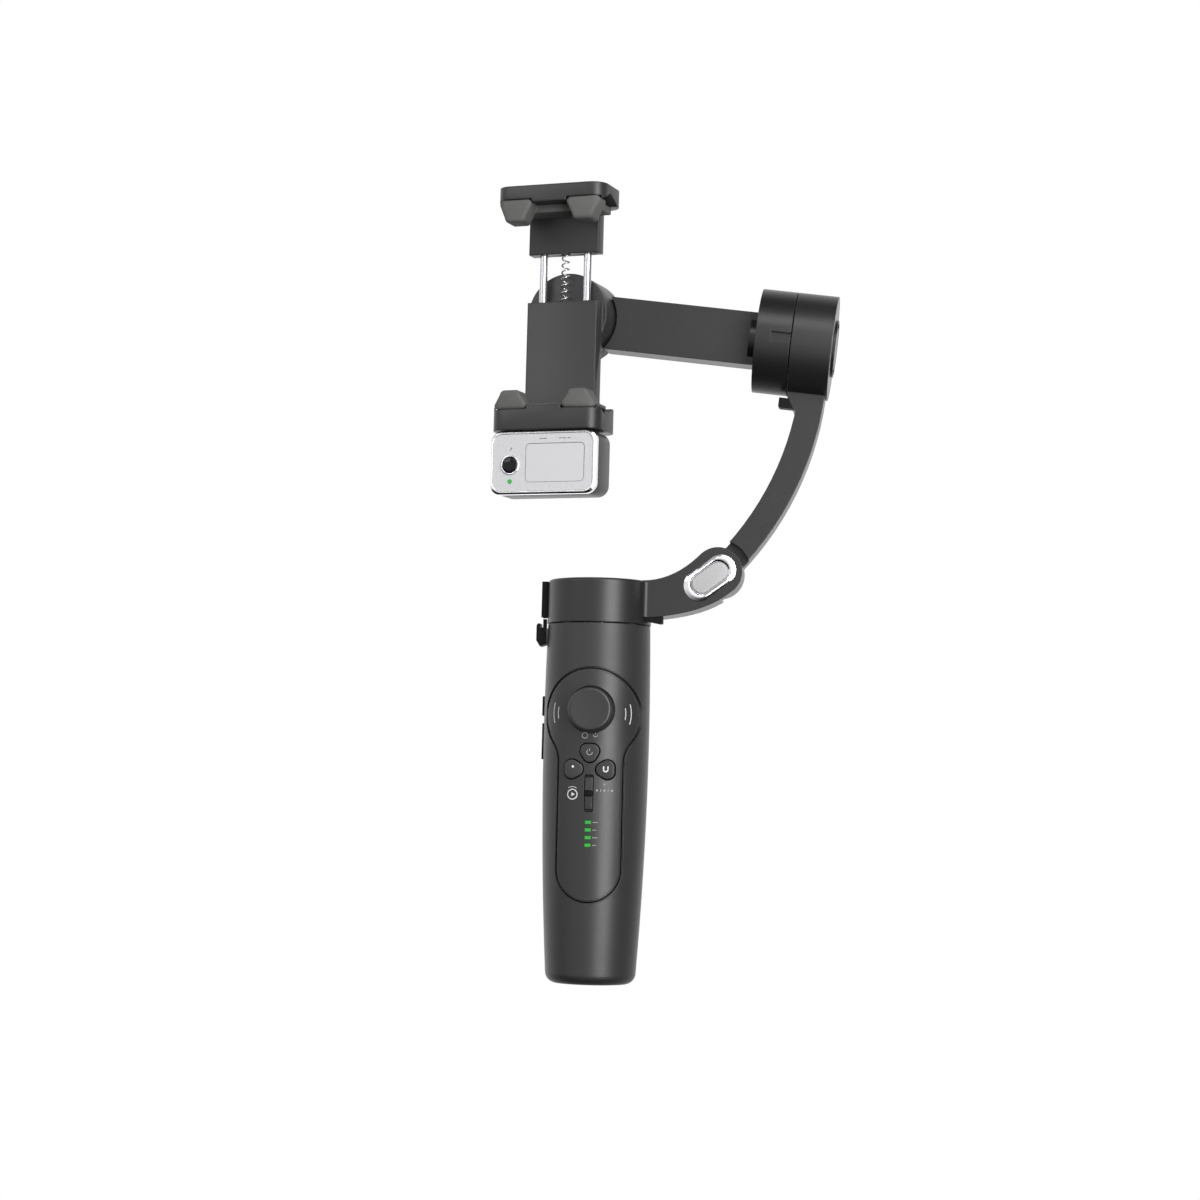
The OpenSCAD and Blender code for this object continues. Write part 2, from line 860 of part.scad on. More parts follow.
// Notches in a jaw's two ends, over the pads; side is 1 above, -1 below
module end_notches(side, root) {
    base = gap_h + root;
    scale([1, 1, side]) for (s = [-1, 1]) translate([s * 24, 0, 0]) rotate([90, 0, 90])
        translate([0, 0, -5.5]) linear_extrude(11) polygon([
            [-11.5, base - 1], [-10, base + 0.2], [-4.4, base + 3.4], [-3.4, base + 3.4],
            [4, base + 0.2], [4.6, base - 1]
        ]);
}

// Rubber hook over the phone's front edge; side is 1 above, -1 below, root is the liner's depth
module hook_pad(x, side, root) {
    top = gap_h + root;
    tip = gap_h - pad_reach + 1.8;
    scale([1, 1, side]) translate([x, 0, 0]) upright(jaw_front - 0.4, pad_back)
        polygon(concat(
            [[-pad_half, top + pad_sink], [-pad_half, top]],
            arc([-2.6, tip], 1.8, 200, 270, 4),
            arc([2.6, tip], 1.8, 270, 340, 4),
            [[pad_half, top], [pad_half, top + pad_sink]]
        ));
}

module pads(side, root) {
    intersection() {
        for (s = [-1, 1]) hook_pad(s * pad_x, side, root);
        translate([0, 0, -60]) linear_extrude(120) jaw_plan(0.4);
    }
    scale([1, 1, side]) box([-jaw_w / 2 + 3, pad_back, gap_h + 0.3],
        [jaw_w / 2 - 3, plate_front, gap_h + root]);
}

// Pockets in a jaw that the hooks' roots sit in
module pad_pockets(side, root) {
    for (s = [-1, 1]) scale([1, 1, side]) upright(jaw_front - 1, pad_back)
        translate([s * pad_x - pad_half, gap_h + root - 1]) square([2 * pad_half, pad_sink + 1]);
}

module clamp_base() color("#3a3a3c") {
    in_clamp() {
        difference() {
            union() {
                jaw_slab(-jaw_low, -gap_h - liner_low);
                box([-plate_w / 2, plate_front, -gap_h - liner_low - 0.1],
                    [plate_w / 2, plate_rear, plate_top]);
                rod_y(cup_r, plate_rear - 0.1, roll_gap_y - 0.2);
            }
            rod_y(cup_r - cup_wall, roll_gap_y - motor_h, roll_gap_y + 1);
            for (s = [-1, 1]) translate([s * rod_x, rod_y, -33]) cylinder(r = rod_r + 0.05, h = 60);
            translate([0, rod_y, -32]) cylinder(r = spring_r + 0.6, h = 60);
            pad_pockets(-1, liner_low);
            end_notches(-1, liner_low);
        }
    }
}

module lower_pads() color("#6a6866") in_clamp() pads(-1, liner_low);
module roll_rotor() color("#77797d") at_roll() rotor();

module guide_rods() color("silver") {
    in_clamp() for (s = [-1, 1]) translate([s * rod_x, rod_y, -12])
        cylinder(r = rod_r, h = leg_bottom + 20);
}

// Wire coil along z, as one swept tube
module coil(r, wire, turns, len) {
    per = 10;
    sides = 5;
    n = turns * per;
    ring = function (i) let (a = 360 * i / per)
        [for (k = [0:sides - 1]) let (b = 360 * k / sides)
            [(r + wire * cos(b)) * cos(a), (r + wire * cos(b)) * sin(a),
                wire * sin(b) + len * i / n]];
    points = [for (i = [0:n]) each ring(i)];
    sheath = [for (i = [0:n - 1], k = [0:sides - 1]) let (m = (k + 1) % sides)
        [i * sides + k, (i + 1) * sides + k, (i + 1) * sides + m, i * sides + m]];
    polyhedron(points, concat(
        [[for (k = [0:sides - 1]) k]], sheath,
        [[for (k = [sides - 1:-1:0]) n * sides + k]]
    ));
}

module clamp_spring() color("#9a9ca0") {
    in_clamp() translate([0, rod_y, -31]) coil(spring_r, 0.35, 18, leg_bottom + 33);
}

module upper_jaw() color("#464648") {
    in_clamp() difference() {
        union() {
            jaw_slab(gap_h + liner_high, jaw_high);
            box([-plate_w / 2, plate_front, leg_bottom],
                [plate_w / 2, plate_rear - 0.5, gap_h + liner_high + 0.1]);
        }
        for (s = [-1, 1]) translate([s * rod_x, rod_y, 0]) cylinder(r = rod_r, h = leg_bottom + 8);
        translate([0, rod_y, leg_bottom - 1]) cylinder(r = spring_r + 0.6, h = spring_pocket + 1);
        pad_pockets(1, liner_high);
        end_notches(1, liner_high);
    }
}

module upper_pads() color("#6a6866") in_clamp() pads(1, liner_high);

// ---------- tracking light module ----------

module module_outline(inset) {
    translate([0, module_top - module_h / 2])
        polygon(round_rect(module_w - 2 * inset, module_h - 2 * inset, module_corner - inset));
}

module module_body() color("#58585a") {
    in_clamp() difference() {
        upright(module_front + 3, module_rear) module_outline(0);
        upright(module_front + 1, module_rear - 1.6) module_outline(1.6);
    }
}

module module_bezel() color("#e8e8ec") {
    in_clamp() upright(module_front, module_front + 3) difference() {
        module_outline(0);
        module_outline(1.3);
    }
}

lens_x = -13.8;
lens_z = module_top - 13.6;
lens_r = 3.7;
light_x = 5.2;
light_z = module_top - 12.9;

module module_face() color("#e6e6ea") {
    in_clamp() difference() {
        upright(module_front + 0.3, module_front + 1.8) module_outline(1.3);
        rod_y(lens_r, -20, 0, [lens_x, lens_z]);
        rod_y(0.9, -20, 0, [lens_x, lens_z - 6.6]);
        upright(-20, 0) translate([light_x, light_z]) polygon(round_rect(25, 15.5, 1.8));
    }
}

module module_lens() color("#0c0c10") {
    in_clamp() translate([lens_x, 0, lens_z]) rotate([90, 0, 0]) rotate_extrude() polygon([
        [0, 2], [lens_r, 2], [lens_r, -module_front + 0.2], [lens_r - 0.7, -module_front + 0.2],
        [lens_r - 1, -module_front - 0.6], [0, -module_front - 0.4]
    ]);
}

module light_diffuser() color("#f2f2f4") {
    in_clamp() upright(module_front + 0.4, module_front + 2.4)
        translate([light_x, light_z]) polygon(round_rect(25, 15.5, 1.8));
}

module module_led() color("#20c830") {
    in_clamp() rod_y(0.9, module_front + 0.2, module_front + 3, [lens_x, lens_z - 6.6]);
}

// ---------- drawing ----------

front_shell();
rear_shell();
tripod_socket();
battery_cell();
battery_cradle();
main_board();
dock_plate();
dock_contacts();
charge_port();
motor_mount();
pan_stator();
pan_bearings();
case_screws();
side_button();
port_cover();
pan_lock();
remote_cover();
remote_base();
remote_board();
remote_cell();
status_leds();
joystick_ring();
joystick_cap();
power_button();
left_button();
right_button();
zoom_slider();
pan_arm();
pan_arm_cover();
pan_stop();
lock_keeper();
fold_ring();
fold_insert();
fold_pin();
pan_rotor();
upper_arm();
upper_arm_cover();
tilt_cap();
tilt_stop();
tilt_stator();
tilt_bearings();
tilt_cup();
link_arm();
link_cover();
tilt_rotor();
roll_stator();
roll_bearings();
clamp_base();
roll_rotor();
guide_rods();
clamp_spring();
lower_pads();
upper_jaw();
upper_pads();
module_body();
module_bezel();
module_face();
module_lens();
light_diffuser();
module_led();
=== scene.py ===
"""Looks of the handheld phone gimbal: a finish for each CAD node, and modelled pieces that stand for some."""

import json
import logging
import math
from dataclasses import dataclass
from enum import Enum
from typing import Callable, Iterable, Sequence

import bpy
from mathutils import Matrix, Vector


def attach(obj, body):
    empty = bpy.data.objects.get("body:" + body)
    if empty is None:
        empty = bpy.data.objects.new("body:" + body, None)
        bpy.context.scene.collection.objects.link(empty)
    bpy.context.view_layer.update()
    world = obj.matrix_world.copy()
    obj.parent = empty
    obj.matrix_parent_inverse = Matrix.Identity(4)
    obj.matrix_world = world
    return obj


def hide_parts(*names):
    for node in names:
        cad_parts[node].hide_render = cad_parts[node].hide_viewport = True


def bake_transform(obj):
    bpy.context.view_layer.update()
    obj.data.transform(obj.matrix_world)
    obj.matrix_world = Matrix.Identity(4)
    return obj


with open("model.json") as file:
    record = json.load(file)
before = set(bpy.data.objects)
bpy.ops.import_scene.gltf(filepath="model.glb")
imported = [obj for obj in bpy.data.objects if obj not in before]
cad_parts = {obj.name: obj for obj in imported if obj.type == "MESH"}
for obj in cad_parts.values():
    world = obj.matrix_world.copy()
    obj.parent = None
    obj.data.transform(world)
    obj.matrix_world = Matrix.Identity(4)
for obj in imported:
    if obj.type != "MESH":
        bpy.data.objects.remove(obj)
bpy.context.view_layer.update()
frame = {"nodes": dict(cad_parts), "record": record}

MM = 0.001
log = logging.getLogger("gimbal")

Colour = tuple[float, float, float]
Point = tuple[float, float]
Place = tuple[float, float, float]
ORIGIN: Place = (0.0, 0.0, 0.0)


# ---------- shader arithmetic ----------


class Flow:
    """A value socket in a node tree that takes part in Python arithmetic."""

    def __init__(self, tree: bpy.types.NodeTree, socket: bpy.types.NodeSocket) -> None:
        """Wraps an output socket.

        Args:
            tree: The node tree that the socket belongs to.
            socket: The output socket.
        """
        self.tree = tree
        self.socket = socket

    def _math(
        self, operation: str, first: "Flow | float", second: "Flow | float", clamp: bool = False
    ) -> "Flow":
        """Adds one Math node.

        Args:
            operation: The Math node's operation.
            first: The first operand.
            second: The second operand.
            clamp: True to clamp the result to 0..1.

        Returns:
            The node's result.
        """
        node = self.tree.nodes.new("ShaderNodeMath")
        node.operation = operation
        node.use_clamp = clamp
        for slot, value in enumerate((first, second)):
            if isinstance(value, Flow):
                self.tree.links.new(value.socket, node.inputs[slot])
            else:
                node.inputs[slot].default_value = value
        return Flow(self.tree, node.outputs[0])

    def __add__(self, other: "Flow | float") -> "Flow":
        """Sum."""
        return self._math("ADD", self, other)

    def __sub__(self, other: "Flow | float") -> "Flow":
        """Difference."""
        return self._math("SUBTRACT", self, other)

    def __rsub__(self, other: float) -> "Flow":
        """Difference from a number."""
        return self._math("SUBTRACT", other, self)

    def __mul__(self, other: "Flow | float") -> "Flow":
        """Product."""
        return self._math("MULTIPLY", self, other)

    __rmul__ = __mul__

    def clamped(self) -> "Flow":
        """The value held to 0..1."""
        return self._math("ADD", self, 0.0, clamp=True)

    def above(self, level: float) -> "Flow":
        """1 where the value is above a level."""
        return self._math("GREATER_THAN", self, level)


class Shader:
    """A material's node tree with its Principled shader, built by short calls."""

    def __init__(self, name: str) -> None:
        """Makes the material.

        Args:
            name: The material's name.
        """
        self.material = bpy.data.materials.new(name)
        self.material.use_nodes = True
        self.tree = self.material.node_tree
        self.surface = self.tree.nodes["Principled BSDF"]
        self.place = self.node("ShaderNodeTexCoord").outputs["Object"]

    def node(self, kind: str, settings: dict | None = None, **inputs: object) -> bpy.types.Node:
        """Adds any node.

        Args:
            kind: The node's type.
            settings: Attributes that are set before the sockets.
            inputs: Values or links of the node's sockets, by name with spaces as underscores.

        Returns:
            The new node.
        """
        made = self.tree.nodes.new(kind)
        for key, value in (settings or {}).items():
            setattr(made, key, value)
        for key, value in inputs.items():
            self.feed(made.inputs[key.replace("_", " ")], value)
        return made

    def feed(self, socket: bpy.types.NodeSocket, value: object) -> None:
        """Links or sets one input socket.

        Args:
            socket: The input.
            value: A Flow, an output socket or a plain value.
        """
        if isinstance(value, Flow):
            value = value.socket
        if isinstance(value, bpy.types.NodeSocket):
            self.tree.links.new(value, socket)
        else:
            socket.default_value = value

    def flow(self, socket: bpy.types.NodeSocket) -> Flow:
        """An output socket as a Flow."""
        return Flow(self.tree, socket)

    def stretched(self, scale: Place) -> bpy.types.NodeSocket:
        """Object coordinates scaled differently along each axis."""
        return self.node("ShaderNodeMapping", Vector=self.place, Scale=scale).outputs[0]

    def noise(self, scale: float, detail: float = 3.0, place: bpy.types.NodeSocket | None = None) -> Flow:
        """A noise pattern.

        Args:
            scale: Cells per metre.
            detail: Octaves.
            place: The coordinates, Object by default.

        Returns:
            The pattern, 0..1.
        """
        made = self.node("ShaderNodeTexNoise", Vector=place or self.place, Scale=scale, Detail=detail)
        return self.flow(made.outputs[0])

    def mix(self, amount: Flow | float, low: object, high: object) -> bpy.types.NodeSocket:
        """Mixes two colours.

        Args:
            amount: 0 gives low, 1 gives high.
            low: A colour or a colour socket.
            high: A colour or a colour socket.

        Returns:
            The mixed colour.
        """
        made = self.node("ShaderNodeMix", {"data_type": "RGBA"})
        self.feed(made.inputs[0], amount)
        for slot, value in ((6, low), (7, high)):
            self.feed(made.inputs[slot], (*value, 1.0) if isinstance(value, tuple) else value)
        return made.outputs[2]


# ---------- finishes ----------


CLOUD_SCALE = 38.0  # broad patches, in cells a metre
FINE_SCALE = 900.0  # fine mottle, in cells a metre
CLOUD_SHARE = 0.6  # of the tone; the rest is fine mottle
CLOUD_ROUGH = 0.08  # how far broad patches change the roughness
FINE_ROUGH = 0.10  # how far fine mottle changes it
WORN_SMOOTH = 0.12  # how much smoother a worn edge is
EDGE_GAIN = 9.0  # how sharply wear keeps to the edges
RELIEF_STRENGTH = 0.6
COAT_ROUGHNESS = 0.08
TURNED_SCALE = 700.0  # turning marks
WOUND_SCALE = 520.0  # turns of wire
BOARD_SCALE = 420.0  # cells between a board's tracks
TRACK_WIDTH = 0.06
TRACK_GREEN: Colour = (0.06, 0.2, 0.07)


def toned(colour: Colour, gain: float, lift: float = 0.0) -> Colour:
    """A colour made lighter or darker.

    Args:
        colour: The colour.
        gain: What it is multiplied by.
        lift: What is added then.

    Returns:
        The new colour, held to 1.
    """
    return tuple(min(1.0, part * gain + lift) for part in colour)


class Grain(Enum):
    """How a surface is worked."""

    MOULDED = "moulded"
    RUBBER = "rubber"
    BRUSHED = "brushed"
    TURNED = "turned"
    POLISHED = "polished"
    WOUND = "wound"
    BOARD = "board"


@dataclass(frozen=True)
class Finish:
    """One finish: colour, gloss, grain and wear."""

    name: str
    colour: Colour
    roughness: float = 0.4
    metallic: float = 0.0
    grain: Grain = Grain.MOULDED
    grain_scale: float = 5200.0
    grain_height: float = 0.00001
    spread: float = 0.12
    edge: float = 0.0003
    wear: float = 0.25
    coat: float = 0.0
    glow: float = 0.0
    gloss: float = 0.5

    def build(self) -> bpy.types.Material:
        """Makes the material.

        Returns:
            The new material.
        """
        shader = Shader(self.name)
        cloud = shader.noise(CLOUD_SCALE, 4.0)
        fine = shader.noise(FINE_SCALE, 3.0)
        relief = self._relief(shader)
        rounded = shader.node("ShaderNodeBevel", {"samples": 4}, Radius=self.edge).outputs[0]
        facing = shader.node("ShaderNodeNewGeometry").outputs["Normal"]
        agree = shader.node("ShaderNodeVectorMath", {"operation": "DOT_PRODUCT"})
        shader.feed(agree.inputs[0], rounded)
        shader.feed(agree.inputs[1], facing)
        edge = ((1.0 - shader.flow(agree.outputs["Value"])) * EDGE_GAIN).clamped()
        worn = (edge * (fine * 1.6 - 0.35).clamped() * self.wear).clamped()
        mottle = (cloud * CLOUD_SHARE + fine * (1.0 - CLOUD_SHARE)).clamped()
        dark, light = (toned(self.colour, 1.0 + change) for change in (-self.spread, self.spread))
        tone = self._pattern(shader, shader.mix(mottle, dark, light))
        base = shader.mix(worn, tone, toned(self.colour, 1.6, 0.02))
        rough = (fine - 0.5) * FINE_ROUGH + (cloud - 0.5) * CLOUD_ROUGH + self.roughness - worn * WORN_SMOOTH
        bump = shader.node(
            "ShaderNodeBump", Strength=RELIEF_STRENGTH, Distance=self.grain_height, Height=relief,
            Normal=rounded,
        ).outputs[0]
        surface = shader.surface
        shader.feed(surface.inputs["Base Color"], base)
        shader.feed(surface.inputs["Roughness"], rough.clamped())
        shader.feed(surface.inputs["Normal"], bump)
        surface.inputs["Metallic"].default_value = self.metallic
        surface.inputs["Specular IOR Level"].default_value = self.gloss
        surface.inputs["Coat Weight"].default_value = self.coat
        surface.inputs["Coat Roughness"].default_value = COAT_ROUGHNESS
        if self.glow:
            shader.feed(surface.inputs["Emission Color"], base)
            surface.inputs["Emission Strength"].default_value = self.glow
        return shader.material

    def _relief(self, shader: Shader) -> Flow:
        """The height pattern of the grain.

        Args:
            shader: The material being built.

        Returns:
            The height, about 0..1.
        """
        if self.grain is Grain.BRUSHED:
            return shader.noise(60.0, 4.0, shader.stretched((6.0, 60.0, 1.0)))
        if self.grain is Grain.TURNED:
            wave = shader.node(
                "ShaderNodeTexWave", {"wave_type": "RINGS", "rings_direction": "Z"},
                Vector=shader.place, Scale=TURNED_SCALE, Distortion=0.6,
            )
            return shader.flow(wave.outputs[0])
        if self.grain is Grain.WOUND:
            wave = shader.node(
                "ShaderNodeTexWave", {"bands_direction": "DIAGONAL"},
                Vector=shader.place, Scale=WOUND_SCALE, Distortion=1.2,
            )
            return shader.flow(wave.outputs[0])
        if self.grain is Grain.BOARD:
            cells = shader.node(
                "ShaderNodeTexVoronoi", {"feature": "DISTANCE_TO_EDGE", "distance": "EUCLIDEAN"},
                Vector=shader.place, Scale=BOARD_SCALE,
            )
            return shader.flow(cells.outputs[0]).above(TRACK_WIDTH)
        if self.grain is Grain.RUBBER:
            return shader.noise(self.grain_scale, 2.0) * 0.7 + shader.noise(1500.0, 2.0) * 0.3
        return shader.noise(self.grain_scale, 4.0)

    def _pattern(self, shader: Shader, tone: bpy.types.NodeSocket) -> bpy.types.NodeSocket:
        """Colour that follows the grain, where the finish has one; wound wire gets painted shade in the
        grooves between its turns.

        Args:
            shader: The material being built.
            tone: The colour so far.

        Returns:
            The colour with its pattern.
        """
        if self.grain is Grain.WOUND:
            # painted shade: the grooves between the wire's turns are darkened to 35% of the copper colour
            between = toned(self.colour, 0.35)
            return shader.mix((self._relief(shader) * 1.4 - 0.2).clamped(), between, tone)
        if self.grain is Grain.BOARD:
            return shader.mix(self._relief(shader), TRACK_GREEN, tone)
        if self.grain is Grain.RUBBER:
            dust = toned(self.colour, 1.25, 0.01)
            return shader.mix((shader.noise(240.0, 5.0) * 1.8 - 0.95).clamped() * 0.5, tone, dust)
        return tone


SATIN = {"roughness": 0.42, "grain_height": 0.000012}
SOFT = {"grain": Grain.RUBBER, "gloss": 0.3}
METAL = {"metallic": 1.0}
FLAT_PRINT = {"wear": 0.0}
FINISHES: dict[str, Finish] = {
    "grip_shell": Finish("satin_grip", (0.019, 0.019, 0.0195), **SATIN),
    "grip_rear": Finish("satin_grip_back", (0.011, 0.011, 0.0115), **SATIN),
    "panel_plastic": Finish("satin_panel", (0.019, 0.019, 0.020), roughness=0.38, grain_height=0.000010),
    "key_plastic": Finish(
        "satin_key", (0.021, 0.021, 0.022), roughness=0.34, edge=0.0005, grain_height=0.000006
    ),
    "black_plastic": Finish("black_plastic", (0.002, 0.002, 0.002), roughness=0.5, gloss=0.15, edge=0.0004),
    "arm_plastic": Finish("satin_arm", (0.011, 0.011, 0.0115), roughness=0.36, edge=0.0005),
    "drum_plastic": Finish("satin_drum", (0.009, 0.009, 0.0097), roughness=0.34, edge=0.0005),
    "jaw_plastic": Finish("satin_jaw", (0.017, 0.017, 0.018), roughness=0.40, edge=0.0009),
    "pad_rubber": Finish("pad_rubber", (0.085, 0.084, 0.082), roughness=0.62, edge=0.0009, **SOFT),
    "port_rubber": Finish("port_rubber", (0.008, 0.008, 0.009), roughness=0.6, edge=0.0004, **SOFT),
    "chrome_trim": Finish(
        "chrome_trim", (0.86, 0.86, 0.88), roughness=0.07, grain=Grain.POLISHED, grain_height=0.000001,
        spread=0.03, edge=0.0005, wear=0.05, **METAL
    ),
    "insert_grey": Finish(
        "pale_insert", (0.34, 0.34, 0.345), roughness=0.32, spread=0.05, edge=0.0004, wear=0.1
    ),
    "module_white": Finish(
        "silver_face", (0.46, 0.46, 0.475), roughness=0.28, spread=0.03, wear=0.05, grain_height=0.000004,
        coat=0.3
    ),
    "module_grey": Finish("module_grey", (0.035, 0.035, 0.037), roughness=0.38, edge=0.0007),
    "diffuser": Finish(
        "diffuser", (0.47, 0.47, 0.485), roughness=0.22, spread=0.02, wear=0.03, grain_height=0.000004
    ),
    "lens_black": Finish(
        "lens_black", (0.002, 0.002, 0.004), roughness=0.06, grain=Grain.POLISHED, gloss=0.3, wear=0.0,
        grain_height=0.0000005
    ),
    "led_green": Finish("led_green", (0.007, 0.27, 0.016), roughness=0.3, glow=0.4, spread=0.15, wear=0.0),
    "steel": Finish(
        "brushed_steel", (0.56, 0.56, 0.58), roughness=0.26, grain=Grain.BRUSHED, grain_height=0.000006,
        wear=0.1, **METAL
    ),
    "motor_steel": Finish(
        "motor_steel", (0.22, 0.22, 0.24), roughness=0.38, grain=Grain.TURNED, grain_height=0.000006, **METAL
    ),
    "copper_wire": Finish(
        "copper_windings", (0.62, 0.24, 0.09), roughness=0.34, metallic=0.9, grain=Grain.WOUND,
        grain_height=0.00018
    ),
    "aluminium_part": Finish(
        "machined_alloy", (0.55, 0.55, 0.57), roughness=0.33, grain=Grain.TURNED, grain_height=0.000008,
        **METAL
    ),
    "brass_part": Finish(
        "turned_brass", (0.66, 0.45, 0.16), roughness=0.28, grain=Grain.TURNED, grain_height=0.000008, **METAL
    ),
    "board_green": Finish(
        "solder_mask", (0.008, 0.09, 0.03), roughness=0.34, grain=Grain.BOARD, grain_height=0.00003
    ),
    "cell_wrap": Finish("cell_wrap", (0.02, 0.09, 0.22), roughness=0.3, coat=0.4, grain_height=0.00001),
    "print_white": Finish("print_white", (0.62, 0.62, 0.62), roughness=0.5, spread=0.08, **FLAT_PRINT),
    "print_grey": Finish("print_grey", (0.10, 0.10, 0.10), roughness=0.45, **FLAT_PRINT),
    "print_dim": Finish("print_dim", (0.30, 0.30, 0.30), roughness=0.5, **FLAT_PRINT),
    "frame_black": Finish("frame_black", (0.011, 0.011, 0.012), roughness=0.5),
}


class Wardrobe:
    """Hands out one material per finish."""

    def __init__(self) -> None:
        """Starts empty."""
        self._made: dict[str, bpy.types.Material] = {}

    def material(self, slot: str) -> bpy.types.Material:
        """The material of a slot, built at first use."""
        if slot not in self._made:
            self._made[slot] = FINISHES[slot].build()
        return self._made[slot]

    def dress(self, piece: bpy.types.Object, slot: str) -> None:
        """Gives a piece one slot's material.

        Args:
            piece: The object.
            slot: The record's material slot.
        """
        piece.data.materials.clear()
        piece.data.materials.append(self.material(slot))


# ---------- studio ----------


@dataclass(frozen=True)
class Softbox:
    """A rectangular area light: its place, what it faces, its width and height in metres, and its watts."""

    name: str
    place: Place
    aim: Place
    size: Point
    power: float

    def build(self) -> None:
        """Makes the light."""
        data = bpy.data.lights.new(self.name, "AREA")
        data.shape = "RECTANGLE"
        data.size, data.size_y = self.size
        data.energy = self.power
        light = bpy.data.objects.new(self.name, data)
        bpy.context.scene.collection.objects.link(light)
        light.location = self.place
        light.rotation_euler = (Vector(self.aim) - Vector(self.place)).to_track_quat("-Z", "Y").to_euler()


# A tall strip at the right front, a wide low one at the upper front and a small fill at the left
SOFTBOXES = (
    Softbox("strip", (0.56, -0.86, 0.16), (0.0, 0.0, 0.12), (0.50, 1.5), 17.0),
    Softbox("upper", (0.25, -0.80, 1.02), (0.05, 0.0, 0.2), (1.1, 0.32), 4.0),
    Softbox("fill", (-0.85, -0.75, 0.75), (0.0, 0.0, 0.15), (0.5, 0.5), 2.0),
)


@dataclass
class Studio:
    """Camera, soft lights, pale floor and backdrop. Lengths are in metres and angles in degrees."""

    focal_mm: float = 79.35
    distance: float = 1.065
    azimuth: float = 6.6
    height: float = 0.0671
    pitch: float = 4.64
    lean: float = 1.5
    floor_z: float = -0.30
    floor_r: float = 1.45
    floor_glow: float = 0.35
    sky: float = 0.95
    sky_right: float = 0.75
    sky_back: float = 0.6
    sky_low: float = 1.3
    sky_high: float = 0.65
    dark_cards: tuple[Place, ...] = ((-0.84, -0.25, -0.48), (0.0, -0.1, 0.99))
    card_edge: float = 0.9
    card_sharp: float = 30.0

    def build(self) -> None:
        """Makes everything that isn't the object."""
        self._camera()
        self._stage()
        self._sky()
        for softbox in SOFTBOXES:
            softbox.build()
        log.info("studio ready")

    def _camera(self) -> None:
        """The camera, low in front of the object and leaning a little."""
        turn, pitch, lean = (math.radians(v) for v in (self.azimuth, self.pitch, self.lean))
        ahead = Vector((-math.sin(turn) * math.cos(pitch), math.cos(turn) * math.cos(pitch), math.sin(pitch)))
        right = Vector((math.cos(turn), math.sin(turn), 0.0))
        up = right.cross(ahead)
        side = right * math.cos(lean) + up * math.sin(lean)
        top = up * math.cos(lean) - right * math.sin(lean)
        data = bpy.data.cameras.new("camera")
        data.lens = self.focal_mm
        data.sensor_width = 36.0
        data.clip_end = 50.0
        camera = bpy.data.objects.new("camera", data)
        bpy.context.scene.collection.objects.link(camera)
        camera.matrix_world = Matrix((
            (side.x, top.x, -ahead.x, self.distance * math.sin(turn)),
            (side.y, top.y, -ahead.y, -self.distance * math.cos(turn)),
            (side.z, top.z, -ahead.z, self.height),
            (0.0, 0.0, 0.0, 1.0),
        ))
        bpy.context.scene.camera = camera

    def _stage(self) -> None:
        """A pale round floor well below the object."""
        bpy.ops.object.select_all(action="DESELECT")
        bpy.ops.mesh.primitive_circle_add(
            vertices=96, radius=self.floor_r, fill_type="NGON", location=(0.0, 0.0, self.floor_z)
        )
        floor = bpy.context.object
        floor.name = "floor"
        shader = Shader("pale_paper")
        tone = shader.mix(shader.noise(1.5, 2.0), (0.84, 0.84, 0.84), (0.88, 0.88, 0.88))
        shader.feed(shader.surface.inputs["Base Color"], tone)
        shader.surface.inputs["Roughness"].default_value = 0.9
        shader.surface.inputs["Specular IOR Level"].default_value = 0.1
        shader.feed(shader.surface.inputs["Emission Color"], tone)
        shader.surface.inputs["Emission Strength"].default_value = self.floor_glow
        floor.data.materials.append(shader.material)
        floor.visible_glossy = False
        floor.visible_diffuse = False

    def _sky(self) -> None:
        """A white backdrop, brightest behind and at the left, with dark cards that the chrome reflects."""
        world = bpy.data.worlds.new("soft_sky")
        world.use_nodes = True
        tree = world.node_tree
        place = tree.nodes.new("ShaderNodeTexCoord").outputs["Generated"]
        parts = tree.nodes.new("ShaderNodeSeparateXYZ")
        tree.links.new(place, parts.inputs[0])
        x, y, z = (Flow(tree, socket) for socket in parts.outputs)
        low = (-1.0 * z).clamped() * self.sky_low
        high = z.clamped() * self.sky_high
        round_about = (self.sky - x.clamped() * self.sky_right) * (1.0 - low - high).clamped()
        light = round_about + y.clamped() * self.sky_back
        for aim_x, aim_y, aim_z in self.dark_cards:
            facing = aim_x * x + aim_y * y + aim_z * z
            light = light * (1.0 - ((facing - self.card_edge) * self.card_sharp).clamped())
        seen = Flow(tree, tree.nodes.new("ShaderNodeLightPath").outputs["Is Camera Ray"])
        strength = light * (1.0 - seen) + seen
        tree.links.new(strength.socket, tree.nodes["Background"].inputs["Strength"])
        tree.nodes["Background"].inputs["Color"].default_value = (1.0, 1.0, 1.0, 1.0)
        bpy.context.scene.world = world
        bpy.context.scene.view_settings.view_transform = "Standard"


# ---------- the bench: primitives shaped in edit mode ----------


def front_frame(x: float, y: float, z: float, turn: float = 0.0) -> Matrix:
    """A frame on a face that looks towards -Y: its own Z is -Y and its Y is up.

    Args:
        x: Place in metres.
        y: Place in metres.
        z: Place in metres.
        turn: Turn in the face's plane in degrees, from X towards Z.

    Returns:
        The frame's matrix.
    """
    upright = Matrix.Rotation(math.radians(90.0), 4, "X")
    return Matrix.Translation((x, y, z)) @ upright @ Matrix.Rotation(math.radians(turn), 4, "Z")


def lift(height: float) -> None:
    """Extrudes the selected faces or edges along Z by a height in millimetres."""
    bpy.ops.mesh.extrude_region_move(TRANSFORM_OT_translate={"value": (0.0, 0.0, height * MM)})


def shift(x: float, y: float, z: float) -> None:
    """Moves what is selected, in millimetres."""
    bpy.ops.transform.translate(value=(x * MM, y * MM, z * MM))


